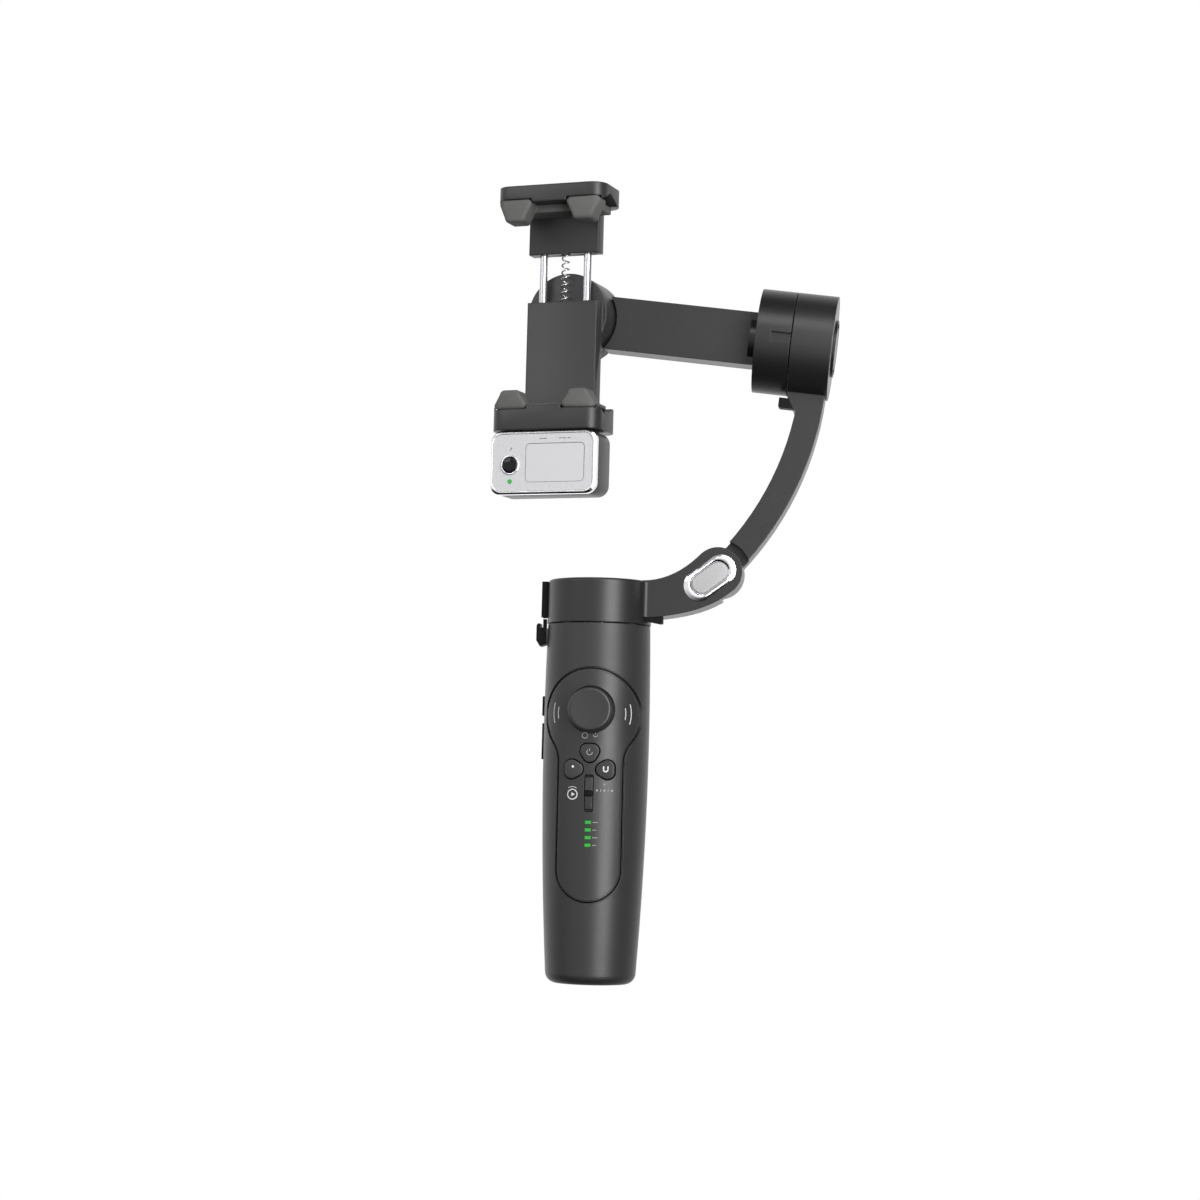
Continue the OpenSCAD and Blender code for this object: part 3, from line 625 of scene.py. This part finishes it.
def spin(degrees: float, axis: str) -> None:
    """Turns what is selected about an axis through the origin."""
    bpy.ops.transform.rotate(value=math.radians(degrees), orient_axis=axis, center_override=ORIGIN)


def face_outward() -> None:
    """Selects the whole mesh and turns its normals outward."""
    bpy.ops.mesh.select_all(action="SELECT")
    bpy.ops.mesh.normals_make_consistent(inside=False)


def joined(parts: Sequence[bpy.types.Object]) -> bpy.types.Object:
    """Joins several objects into one.

    Args:
        parts: The objects.

    Returns:
        The last of them, which now holds all.
    """
    bpy.ops.object.select_all(action="DESELECT")
    for part in parts:
        part.select_set(True)
    bpy.context.view_layer.objects.active = parts[-1]
    if len(parts) > 1:
        bpy.ops.object.join()
    return parts[-1]


class Bench:
    """Makes one piece at a time at the origin, along its own Z, and sets it in place when it is done."""

    def __init__(self, wardrobe: Wardrobe) -> None:
        """Keeps the finishes.

        Args:
            wardrobe: Where the materials come from.
        """
        self.wardrobe = wardrobe
        record = frame["record"]
        bodies = record["behaviour"]["bodies"]
        self.homes = {node: body for body, nodes in bodies.items() for node in nodes}
        self.slots = {row["node"]: row["material_slot"] for row in record["subparts"]}

    def disc(self, radius: float, vertices: int = 64, fill: bool = True) -> bpy.types.Object:
        """A round start in the XY plane, in edit mode with all of it selected.

        Args:
            radius: In metres.
            vertices: Corners of the round.
            fill: True for a face, False for its edge alone.

        Returns:
            The object being worked on.
        """
        bpy.ops.object.select_all(action="DESELECT")
        bpy.ops.mesh.primitive_circle_add(
            vertices=vertices, radius=radius, fill_type="NGON" if fill else "NOTHING", location=ORIGIN
        )
        bpy.ops.object.mode_set(mode="EDIT")
        bpy.ops.mesh.select_all(action="SELECT")
        return bpy.context.object

    def turned(self, rings: Sequence[Point], vertices: int = 64) -> bpy.types.Object:
        """A turned piece: a round face is drawn up and widened ring by ring.

        Args:
            rings: Radius and height of each ring in millimetres, the first and last with a radius above zero.
            vertices: Corners of the round.

        Returns:
            The piece, in object mode.
        """
        piece = self.disc(rings[0][0] * MM, vertices, fill=False)
        bpy.ops.mesh.select_mode(type="EDGE")
        bpy.ops.mesh.edge_face_add()
        shift(0.0, 0.0, rings[0][1])
        for (r0, h0), (r1, h1) in zip(rings, rings[1:]):
            lift(h1 - h0)
            if r1 != r0:
                bpy.ops.transform.resize(value=(r1 / r0, r1 / r0, 1.0))
        face_outward()
        bpy.ops.object.mode_set(mode="OBJECT")
        return piece

    def choose(self, test: Callable[[Vector], bool], kind: str = "VERT") -> None:
        """Selects by place, in edit mode.

        Args:
            test: Says of a vertex's or a face's centre whether it is selected.
            kind: VERT or FACE.
        """
        piece = bpy.context.object
        bpy.ops.mesh.select_mode(type=kind)
        bpy.ops.mesh.select_all(action="DESELECT")
        bpy.ops.object.mode_set(mode="OBJECT")
        if kind == "VERT":
            for vertex in piece.data.vertices:
                vertex.select = test(vertex.co)
        else:
            for face in piece.data.polygons:
                face.select = test(face.center)
        bpy.ops.object.mode_set(mode="EDIT")

    def plate(self, half_w: float, half_h: float, corner: float, taper: float = 1.0) -> bpy.types.Object:
        """A flat four-cornered start with round corners, in edit mode with its face selected.

        Args:
            half_w: Half the width in millimetres.
            half_h: Half the height in millimetres.
            corner: The corners' radius in millimetres.
            taper: How much of its width the lower side keeps.

        Returns:
            The object being worked on.
        """
        corners = 32
        piece = self.disc(corner * MM, corners)
        spin(180.0 / corners, "Z")
        for sx, sy in ((1.0, 1.0), (-1.0, 1.0), (1.0, -1.0), (-1.0, -1.0)):
            keep = 1.0 if sy > 0.0 else taper
            self.choose(lambda co, sx=sx, sy=sy: co.x * sx > 0.0 and co.y * sy > 0.0)
            shift(sx * (half_w * keep - corner), sy * (half_h - corner), 0.0)
        bpy.ops.mesh.select_mode(type="FACE")
        bpy.ops.mesh.select_all(action="SELECT")
        return piece

    def block(
        self, half_w: float, half_h: float, corner: float, height: float, steps: Iterable[Point],
        taper: float = 1.0,
    ) -> bpy.types.Object:
        """A four-cornered block with round corners whose front edge is rounded step by step.

        Args:
            half_w: Half the width in millimetres.
            half_h: Half the height in millimetres.
            corner: The corners' radius in millimetres.
            height: How far the sides rise, in millimetres.
            steps: How far each step draws in and rises, in millimetres.
            taper: How much of its width the lower side keeps.

        Returns:
            The object being worked on, all of it selected.
        """
        piece = self.plate(half_w, half_h, corner, taper)
        lift(height)
        for inward, rise in steps:
            lift(rise)
            bpy.ops.transform.resize(
                value=(1.0 - inward / half_w, 1.0 - inward / half_h, 1.0), center_override=ORIGIN
            )
        face_outward()
        return piece

    def place(
        self, piece: bpy.types.Object, name: str, matrix: Matrix, body: str, slot: str,
        smooth: float = 35.0, replaces: Iterable[str] = (), finish: str | None = None,
        stretch: tuple[str, Vector, Vector] | None = None,
    ) -> None:
        """Sets a finished piece in place, smooths and dresses it, and ties it to its body.

        Args:
            piece: The piece, modelled at the origin.
            name: Its name.
            matrix: Where it goes.
            body: The CAD body it rides on.
            slot: The record's material slot.
            smooth: Edges sharper than this many degrees stay sharp.
            replaces: CAD nodes that it stands for.
            finish: A finish other than the slot's own.
            stretch: For a piece that spans a joint, the second body and the two ends; only whether it is
                given is read, and such a piece is then left in place, tied to no body.
        """
        if bpy.context.object.mode == "EDIT":
            bpy.ops.object.mode_set(mode="OBJECT")
        bpy.ops.object.select_all(action="DESELECT")
        bpy.context.view_layer.objects.active = piece
        piece.select_set(True)
        piece.name = name
        piece.data.name = name
        piece.matrix_world = matrix
        bpy.ops.object.transform_apply(location=True, rotation=True, scale=True)
        bpy.ops.object.shade_smooth_by_angle(angle=math.radians(smooth))
        self.wardrobe.dress(piece, finish or slot)
        if stretch:
            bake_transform(piece)
        else:
            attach(piece, body)
        if replaces:
            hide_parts(*replaces)
        log.info("made %s", name)

    def rounded(self, node: str, width: float, segments: int = 3) -> None:
        """Makes a copy of a CAD node with its sharper edges rounded, which stands for the node.

        Args:
            node: The CAD node.
            width: The rounding in millimetres.
            segments: Faces across each rounding.
        """
        bpy.ops.object.select_all(action="DESELECT")
        source = frame["nodes"][node]
        piece = source.copy()
        piece.data = source.data.copy()
        for key in list(piece.keys()):
            del piece[key]
        piece.parent = None
        bpy.context.scene.collection.objects.link(piece)
        bpy.context.view_layer.objects.active = piece
        piece.select_set(True)
        bpy.ops.object.mode_set(mode="EDIT")
        bpy.ops.mesh.select_mode(type="VERT")
        bpy.ops.mesh.select_all(action="SELECT")
        bpy.ops.mesh.remove_doubles(threshold=0.000002)
        bpy.ops.mesh.dissolve_limited(angle_limit=math.radians(0.5))
        bpy.ops.object.mode_set(mode="OBJECT")
        bevel = piece.modifiers.new("rounding", "BEVEL")
        bevel.width = width * MM
        bevel.segments = segments
        bevel.limit_method = "ANGLE"
        bevel.angle_limit = math.radians(40.0)
        bpy.ops.object.modifier_apply(modifier="rounding")
        self.place(
            piece, node + "_rounded", Matrix.Identity(4), self.homes[node], self.slots[node],
            smooth=30.0, replaces=(node,),
        )


# ---------- printed and moulded marks ----------


class Mark(Enum):
    """Plain signs that are printed on the panel and the keys."""

    RING = "ring"
    DOT = "dot"
    BAR = "bar"
    TRIANGLE = "triangle"
    ARC = "arc"


@dataclass(frozen=True)
class Stroke:
    """One sign: its kind, middle and size in millimetres, seen from the front."""

    mark: Mark
    x: float
    z: float
    size: float
    width: float = 0.28
    turn: float = 0.0
    sweep: tuple[float, float] = (0.0, 360.0)


class Printer:
    """Lays signs on a front surface as thin prints."""

    ink: float = 0.06  # thickness in millimetres
    sink: float = 0.03  # how deep the print's back lies, in millimetres

    def __init__(
        self, bench: Bench, depth: Callable[[float, float], float], frame_matrix: Matrix | None = None
    ) -> None:
        """Keeps the surface.

        Args:
            bench: Where pieces are made.
            depth: The surface's y in metres at an x and z in metres.
            frame_matrix: The frame that x, y and z are in, if it isn't the object's.
        """
        self.bench = bench
        self.depth = depth
        self.frame_matrix = frame_matrix or Matrix.Identity(4)

    def _flat(self, stroke: Stroke) -> bpy.types.Object:
        """One sign, flat in the XY plane at its place.

        Args:
            stroke: The sign.

        Returns:
            The flat piece, in object mode.
        """
        size = stroke.size * MM
        if stroke.mark is Mark.BAR:
            piece = self.bench.disc(size * 0.5, 4)
            spin(45.0, "Z")
            long = math.sqrt(2.0)
            bpy.ops.transform.resize(
                value=(long, long * stroke.width / stroke.size, 1.0), center_override=ORIGIN
            )
            bpy.ops.mesh.subdivide(number_cuts=3)
        elif stroke.mark is Mark.TRIANGLE:
            piece = self.bench.disc(size, 3)
        elif stroke.mark is Mark.DOT:
            piece = self.bench.disc(size, 20)
        else:
            piece = self.bench.disc(size, 72)
            bpy.ops.mesh.inset(thickness=stroke.width * MM, depth=0.0)
            inner = size - stroke.width * MM * 0.9
            low, high = stroke.sweep

            def outside(centre: Vector) -> bool:
                """True for the middle face and for what lies outside the sweep."""
                bearing = math.degrees(math.atan2(centre.y, centre.x)) % 360.0
                swept = low <= bearing <= high or low <= bearing - 360.0 <= high
                return centre.length < inner * 0.5 or not swept

            self.bench.choose(outside, "FACE")
            bpy.ops.mesh.delete(type="FACE")
        bpy.ops.object.mode_set(mode="OBJECT")
        middle = Matrix.Translation((stroke.x * MM, stroke.z * MM, 0.0))
        piece.matrix_world = middle @ Matrix.Rotation(math.radians(stroke.turn), 4, "Z")
        bpy.ops.object.transform_apply(location=True, rotation=True, scale=True)
        return piece

    def lay(self, name: str, strokes: Iterable[Stroke], body: str, finish: str) -> None:
        """Prints a group of signs as one piece.

        Args:
            name: The piece's name.
            strokes: The signs.
            body: The CAD body that it rides on.
            finish: Its finish.
        """
        piece = joined([self._flat(stroke) for stroke in strokes])
        bpy.ops.object.mode_set(mode="EDIT")
        face_outward()
        lift(self.ink)
        face_outward()
        bpy.ops.object.mode_set(mode="OBJECT")
        for vertex in piece.data.vertices:
            x, z, out = vertex.co
            vertex.co = (x, self.depth(x, z) + self.sink * MM - out, z)
        self.bench.place(piece, name, self.frame_matrix, body, "insert_grey", finish=finish)


# ---------- sub-assemblies ----------


@dataclass
class Remote:
    """The panel: stick, keys, zoom key and printed signs. Sizes are in millimetres."""

    bench: Bench
    belly_z: float = 100.0
    belly_r: float = 21.75
    taper: float = 0.00034
    stick_z: float = 108.4
    power_z: float = 91.5
    pair_x: float = 6.5
    pair_z: float = 84.8
    zoom_z: float = 75.4
    led_z: tuple[float, ...] = (55.0, 58.0, 61.0, 64.0)
    power_front: float = 22.2
    pair_front: float = 21.3
    stick_rings: tuple[Point, ...] = (
        (2.1, 15.0), (2.1, 22.2), (3.0, 22.9), (4.5, 23.6), (7.6, 24.1), (8.2, 24.25), (8.55, 24.5),
        (8.7, 24.95), (8.7, 25.5), (8.58, 25.95), (8.3, 26.25), (7.95, 26.42), (7.5, 26.48), (7.0, 26.44),
        (5.2, 26.32), (3.0, 26.24), (0.4, 26.2),
    )
    zoom_half: Point = (1.52, 1.25)
    zoom_corner: float = 0.4
    zoom_height: float = 0.55
    zoom_foot: float = 21.45
    zoom_steps: tuple[Point, ...] = ((0.08, 0.08), (0.12, 0.04), (0.2, -0.12), (0.15, 0.0), (0.1, 0.1))
    radio_waves: tuple[Point, ...] = ((13.6, 11.0), (15.6, 13.5))  # radius, and half the sweep in degrees
    radio_z: float = 107.0
    scale_at: Point = (6.1, 76.6)
    scale_pitch: float = 1.45

    def surface(self, x: float, z: float) -> float:
        """The y of the panel's front at a place.

        Args:
            x: In metres.
            z: In metres.

        Returns:
            The depth in metres.
        """
        radius = self.belly_r - self.taper * (z / MM - self.belly_z) ** 2
        return -math.sqrt(max(radius * radius - (x / MM) ** 2, 1.0)) * MM

    def build(self) -> None:
        """Makes the panel's pieces."""
        cap = self.bench.turned(self.stick_rings, 96)
        self.bench.place(
            cap, "stick_cap", front_frame(0.0, 0.0, self.stick_z * MM), "joystick", "key_plastic",
            smooth=50.0, replaces=("joystick_cap",),
        )
        for node in ("power_button", "left_button", "right_button"):
            self.bench.rounded(node, 0.45, 4)
        self.bench.rounded("zoom_slider", 0.2, 3)
        self._zoom_grip()
        self._signs()

    def _zoom_grip(self) -> None:
        """Makes the black cap on the middle of the zoom key."""
        cap = self.bench.block(*self.zoom_half, self.zoom_corner, self.zoom_height, self.zoom_steps)
        shift(0.0, 0.0, self.zoom_foot)
        self.bench.place(
            cap, "zoom_grip", front_frame(0.0, 0.0, self.zoom_z * MM), "zoom_slider", "black_plastic",
            smooth=50.0,
        )

    def _signs(self) -> None:
        """Prints the signs on the panel and the keys."""
        panel = Printer(self.bench, self.surface)
        panel.lay("radio_signs", [
            Stroke(Mark.ARC, 0.0, self.radio_z, radius, 0.3, sweep=(side - half, side + half))
            for radius, half in self.radio_waves for side in (0.0, 180.0)
        ], "remote", "print_white")
        panel.lay("play_sign", [
            Stroke(Mark.RING, -6.6, 74.9, 2.15, 0.42),
            Stroke(Mark.TRIANGLE, -6.5, 74.9, 0.95, turn=-90.0),
            Stroke(Mark.ARC, -6.6, 74.9, 3.1, 0.24, sweep=(55.0, 125.0)),
        ], "remote", "print_white")
        panel.lay("scale_sign", self._scale(), "remote", "print_dim")
        panel.lay("mode_signs", [
            Stroke(Mark.ARC, -2.1, 98.1, 1.25, 0.32, sweep=(20.0, 340.0)),
            Stroke(Mark.BAR, -1.0, 98.1, 1.2, 0.3, turn=90.0),
            Stroke(Mark.ARC, 2.1, 98.5, 1.0, 0.3, sweep=(180.0, 360.0)),
            Stroke(Mark.DOT, 2.1, 98.9, 0.26),
        ], "remote", "print_dim")
        panel.lay("level_ticks", [
            Stroke(Mark.BAR, 2.6 + 0.25 * (index % 2), z, 1.5 + 0.6 * (index % 2), 0.32)
            for index, z in enumerate(self.led_z)
        ], "remote", "print_dim")
        power_face = Printer(self.bench, lambda x, z: -self.power_front * MM)
        power_face.lay("power_sign", [
            Stroke(Mark.ARC, 0.0, self.power_z + 0.1, 1.25, sweep=(125.0, 415.0)),
            Stroke(Mark.BAR, 0.0, self.power_z + 1.0, 1.2, turn=90.0),
        ], "power_button", "print_dim")
        pair_face = Printer(self.bench, lambda x, z: -self.pair_front * MM)
        pair_face.lay("record_sign", [
            Stroke(Mark.DOT, -self.pair_x - 0.1, self.pair_z + 1.0, 0.5),
        ], "left_button", "print_white")
        pair_face.lay("turn_sign", [
            Stroke(Mark.ARC, self.pair_x, self.pair_z + 0.1, 1.15, 0.55, sweep=(180.0, 360.0)),
            Stroke(Mark.BAR, self.pair_x - 0.87, self.pair_z + 0.7, 1.3, 0.55, turn=90.0),
            Stroke(Mark.BAR, self.pair_x + 0.87, self.pair_z + 0.7, 1.3, 0.55, turn=90.0),
        ], "right_button", "print_white")

    def _scale(self) -> list[Stroke]:
        """A row of dots and bars under a small pointer.

        Returns:
            The signs.
        """
        middle, z = self.scale_at
        signs = [Stroke(Mark.TRIANGLE, middle, z + 2.4, 0.55, turn=90.0)]
        for step in range(-2, 3):
            x = middle + step * self.scale_pitch
            signs.append(Stroke(Mark.BAR, x, z, 0.9, turn=90.0) if step % 2 else Stroke(Mark.DOT, x, z, 0.42))
        return signs


@dataclass
class FoldJoint:
    """The chrome ring and its pale insert in the folding head. Sizes are in millimetres."""

    bench: Bench
    place: Place = (44.9, -8.2, 162.4)
    turn: float = 37.0  # degrees
    radius: float = 6.2
    reach: float = 10.6
    skirt: float = 1.1
    steps: tuple[Point, ...] = (
        (0.15, 0.1), (0.75, 0.5), (0.2, 0.1), (0.3, 0.0), (0.2, -0.1), (0.6, -0.6), (0.2, -0.5),
    )
    shrink: float = 1.3
    on_axis: float = 0.00001  # metres; nearer than this is on the axis

    def build(self) -> None:
        """Makes the crowned ring and the softened insert."""
        ring = self.bench.disc(self.radius * MM, 72)
        self._part(self.reach / 2.0)
        bpy.ops.mesh.select_mode(type="FACE")
        bpy.ops.mesh.select_all(action="SELECT")
        lift(self.skirt)
        share = self.shrink / len(self.steps)
        for inward, rise in self.steps:
            bpy.ops.mesh.inset(thickness=inward * MM, depth=rise * MM)
            self._draw_in(share)
        face_outward()
        x, y, z = (v * MM for v in self.place)
        self.bench.place(
            ring, "chrome_ring", front_frame(x, y, z, self.turn), "pan_frame", "chrome_trim",
            smooth=60.0, replaces=("fold_ring",),
        )
        self.bench.rounded("fold_insert", 0.35, 3)

    def _part(self, half: float) -> None:
        """Pulls the two halves of a round apart into a long round.

        Args:
            half: Half the reach in millimetres.
        """
        for side in (1.0, -1.0):
            self.bench.choose(lambda co, side=side: co.x * side > self.on_axis)
            shift(side * half, 0.0, 0.0)

    def _draw_in(self, share: float) -> None:
        """Brings the ends of the selected top face a little closer, and selects it again.

        Args:
            share: How far, in millimetres.
        """
        piece = bpy.context.object
        bpy.ops.object.mode_set(mode="OBJECT")
        top = next(face for face in piece.data.polygons if face.select and len(face.vertices) > 8)
        index = top.index
        members = set(top.vertices)
        for side in (1.0, -1.0):
            for vertex in piece.data.vertices:
                vertex.select = vertex.index in members and vertex.co.x * side > self.on_axis
            for edge in piece.data.edges:
                edge.select = False
            for face in piece.data.polygons:
                face.select = False
            bpy.ops.object.mode_set(mode="EDIT")
            bpy.ops.mesh.select_mode(type="VERT")
            shift(-side * share, 0.0, 0.0)
            bpy.ops.object.mode_set(mode="OBJECT")
        for face in piece.data.polygons:
            face.select = face.index == index
        bpy.ops.object.mode_set(mode="EDIT")
        bpy.ops.mesh.select_mode(type="FACE")


@dataclass
class Clamp:
    """Jaws, rubber hooks and the spring, in the clamp's own frame. Sizes are in millimetres."""

    bench: Bench
    at: Place = (-18.0, -19.8, 268.2)
    yaw: float = 14.4  # degrees
    rod_y: float = 7.75
    spring_z: float = -31.0
    spring_r: float = 1.5
    wire_r: float = 0.33
    turns: int = 26
    length: float = 75.0
    grip_half: float = 38.35
    jaw_half: float = 23.0
    jaw_corner: float = 6.0
    jaw_front: float = 12.5
    plate_front: float = 5.0
    hook_x: float = 14.5
    hook_half: float = 7.1
    hook_taper: float = 0.62
    hook_sink: float = 1.3
    hook_reach: float = 4.6
    hook_back: float = 5.05
    hook_depth: float = 6.5
    hook_corner: float = 2.0
    hook_steps: tuple[Point, ...] = ((0.1, 0.4), (0.25, 0.38), (0.4, 0.3), (0.5, 0.18), (0.6, 0.08))
    proud: float = 0.35
    upper_liner: float = 3.4
    lower_liner: float = 1.8
    liner_inset: float = 3.0
    liner_gap: float = 0.3

    @property
    def frame(self) -> Matrix:
        """The clamp's frame."""
        return Matrix.Translation(Vector(self.at) * MM) @ Matrix.Rotation(math.radians(-self.yaw), 4, "Z")

    def build(self) -> None:
        """Makes the clamp's pieces."""
        self.bench.rounded("upper_jaw", 0.7, 3)
        self.bench.rounded("clamp_base", 0.5, 3)
        self._hooks("upper", 1.0, self.upper_liner, "jaw")
        self._hooks("lower", -1.0, self.lower_liner, "clamp")
        self._spring()

    def _hooks(self, name: str, side: float, root: float, body: str) -> None:
        """Makes one jaw's rubber: two soft hooks and the liner between them.

        Args:
            name: Which jaw.
            side: 1 for the upper jaw, -1 for the lower.
            root: The liner's thickness in millimetres.
            body: The CAD body that it rides on.
        """
        top, tip = self.grip_half + root + self.hook_sink, self.grip_half - self.hook_reach
        parts = []
        for x in (-self.hook_x, self.hook_x):
            hook = self.bench.block(
                self.hook_half, (top - tip) / 2.0, self.hook_corner, self.hook_depth, self.hook_steps,
                self.hook_taper,
            )
            shift(x, (top + tip) / 2.0, self.hook_back)
            bpy.ops.object.mode_set(mode="OBJECT")
            parts.append(hook)
        parts.append(self.bench.block(
            self.jaw_half - self.liner_inset, (root - self.liner_gap) / 2.0, 0.5,
            self.plate_front + self.hook_back + 1.0, ((0.2, 0.1),),
        ))
        shift(0.0, self.grip_half + (root + self.liner_gap) / 2.0, -self.plate_front)
        bpy.ops.object.mode_set(mode="OBJECT")
        liner = joined(parts)
        for vertex in liner.data.vertices:
            x, z, out = (value / MM for value in vertex.co)
            past = max(abs(x) - (self.jaw_half - self.jaw_corner), 0.0)
            arc = math.sqrt(max(self.jaw_corner**2 - past**2, 0.0))
            limit = self.jaw_front - self.jaw_corner + arc + self.proud
            vertex.co = (x * MM, z * side * MM, min(out, limit) * MM)
        bpy.ops.object.mode_set(mode="EDIT")
        face_outward()
        self.bench.place(
            liner, name + "_hooks", self.frame @ front_frame(*ORIGIN), body, "pad_rubber",
            smooth=50.0, replaces=(name + "_pads",),
        )

    def _spring(self) -> None:
        """Winds the clamp spring from a round wire end."""
        spring = self.bench.disc(self.wire_r * MM, 8, fill=False)
        spin(90.0, "X")
        shift(self.spring_r, 0.0, 0.0)
        bpy.ops.object.mode_set(mode="OBJECT")
        screw = spring.modifiers.new("winding", "SCREW")
        screw.axis = "Z"
        screw.angle = math.radians(360.0)
        screw.screw_offset = self.length / self.turns * MM
        screw.iterations = self.turns
        screw.steps = screw.render_steps = 20
        bpy.ops.object.modifier_apply(modifier="winding")
        bpy.ops.object.mode_set(mode="EDIT")
        bpy.ops.mesh.select_all(action="SELECT")
        bpy.ops.mesh.remove_doubles(threshold=0.000001)
        bpy.ops.mesh.fill_holes(sides=12)
        bpy.ops.mesh.normals_make_consistent(inside=False)
        bpy.ops.object.mode_set(mode="OBJECT")
        matrix = self.frame @ Matrix.Translation((0.0, self.rod_y * MM, self.spring_z * MM))
        ends = (matrix @ Vector(ORIGIN), matrix @ Vector((0.0, 0.0, self.length * MM)))
        self.bench.place(
            spring, "wound_spring", matrix, "clamp", "steel", smooth=60.0, replaces=("clamp_spring",),
            stretch=("jaw", *ends),
        )


@dataclass
class TrackingLight:
    """The module under the lower jaw, in the clamp's own frame. Sizes are in millimetres."""

    bench: Bench
    clamp: Clamp
    lens_x: float = -13.8
    lens_z: float = -63.75
    light_x: float = 5.2
    light_z: float = -63.05
    front: float = -11.5
    half_w: float = 22.6
    half_h: float = 12.7
    corner: float = 4.5
    middle_z: float = -62.85
    bezel_back: float = 3.0
    bezel_wall: float = 2.4
    bezel_steps: tuple[Point, ...] = ((0.7, 0.6), (0.5, 0.0), (0.1, -1.0))
    glass_rings: tuple[Point, ...] = (
        (3.0, 2.5), (3.0, 11.4), (3.45, 11.52), (3.4, 11.66), (2.6, 11.95), (1.4, 12.1), (0.2, 12.14),
    )
    ring_r: float = 3.95
    ring_foot: float = 11.0
    ring_wall: float = 0.55
    ring_steps: tuple[Point, ...] = ((0.12, 0.12), (0.2, 0.08), (0.2, -0.04), (0.2, -0.12), (0.15, -0.3))
    window: tuple[float, float, float] = (12.5, 7.75, 1.8)
    window_line: float = 0.16
    window_rise: float = 0.08
    sign_rows: tuple[Point, ...] = ((-0.9, 1.2), (0.8, 1.5), (7.4, 1.0), (9.0, 1.6), (11.0, 1.3))

    def build(self) -> None:
        """Makes the module's pieces."""
        self.bench.rounded("module_body", 0.9, 4)
        bezel = self.bench.block(self.half_w, self.half_h, self.corner, self.bezel_wall, self.bezel_steps)
        middle = front_frame(0.0, (self.front + self.bezel_back) * MM, self.middle_z * MM)
        self.bench.place(
            bezel, "chrome_bezel", self.clamp.frame @ middle, "tracking_light", "chrome_trim",
            smooth=30.0, replaces=("module_bezel",),
        )
        lens = self.bench.turned(self.glass_rings, 48)
        place = self.clamp.frame @ front_frame(self.lens_x * MM, 0.0, self.lens_z * MM)
        self.bench.place(
            lens, "lens_glass", place, "tracking_light", "lens_black",
            smooth=60.0, replaces=("module_lens",),
        )
        self._lens_ring(place)
        self._outline()
        self._signs()

    def _lens_ring(self, place: Matrix) -> None:
        """Turns the chrome ring round the lens.

        Args:
            place: The lens's frame.
        """
        ring = self.bench.disc(self.ring_r * MM, 64)
        bpy.ops.mesh.select_mode(type="FACE")
        shift(0.0, 0.0, self.ring_foot)
        lift(self.ring_wall)
        for inward, rise in self.ring_steps:
            bpy.ops.mesh.inset(thickness=inward * MM, depth=rise * MM)
        face_outward()
        self.bench.place(ring, "lens_ring", place, "tracking_light", "chrome_trim", smooth=60.0)

    def _signs(self) -> None:
        """Prints the small lines above the lens and the window."""
        rows = [Stroke(Mark.BAR, x, self.light_z + 9.6, length, 0.3) for x, length in self.sign_rows]
        rows.append(Stroke(Mark.BAR, self.lens_x + 0.2, self.lens_z + 6.4, 1.3, 0.35, turn=60.0))
        face = Printer(self.bench, lambda x, z: (self.front + 0.3) * MM, self.clamp.frame)
        face.lay("module_signs", rows, "tracking_light", "print_grey")

    def _outline(self) -> None:
        """Lays the thin frame round the light window."""
        outline = self.bench.plate(*self.window)
        bpy.ops.mesh.inset(thickness=self.window_line * MM, depth=0.0)
        bpy.ops.mesh.delete(type="FACE")
        bpy.ops.mesh.select_all(action="SELECT")
        lift(self.window_rise)
        face_outward()
        face = self.front + 0.4
        place = self.clamp.frame @ front_frame(self.light_x * MM, face * MM, self.light_z * MM)
        self.bench.place(outline, "window_frame", place, "tracking_light", "insert_grey", finish="print_grey")


# ---------- building ----------


def main() -> None:
    """Builds the looks in order."""
    logging.basicConfig(level=logging.INFO, format="%(name)s: %(message)s")
    wardrobe = Wardrobe()
    for row in frame["record"]["subparts"]:
        wardrobe.dress(frame["nodes"][row["node"]], row["material_slot"])
    bench = Bench(wardrobe)
    clamp = Clamp(bench)
    for assembly in (Remote(bench), FoldJoint(bench), clamp, TrackingLight(bench, clamp)):
        assembly.build()
    Studio().build()


if __name__ == "__main__":
    main()
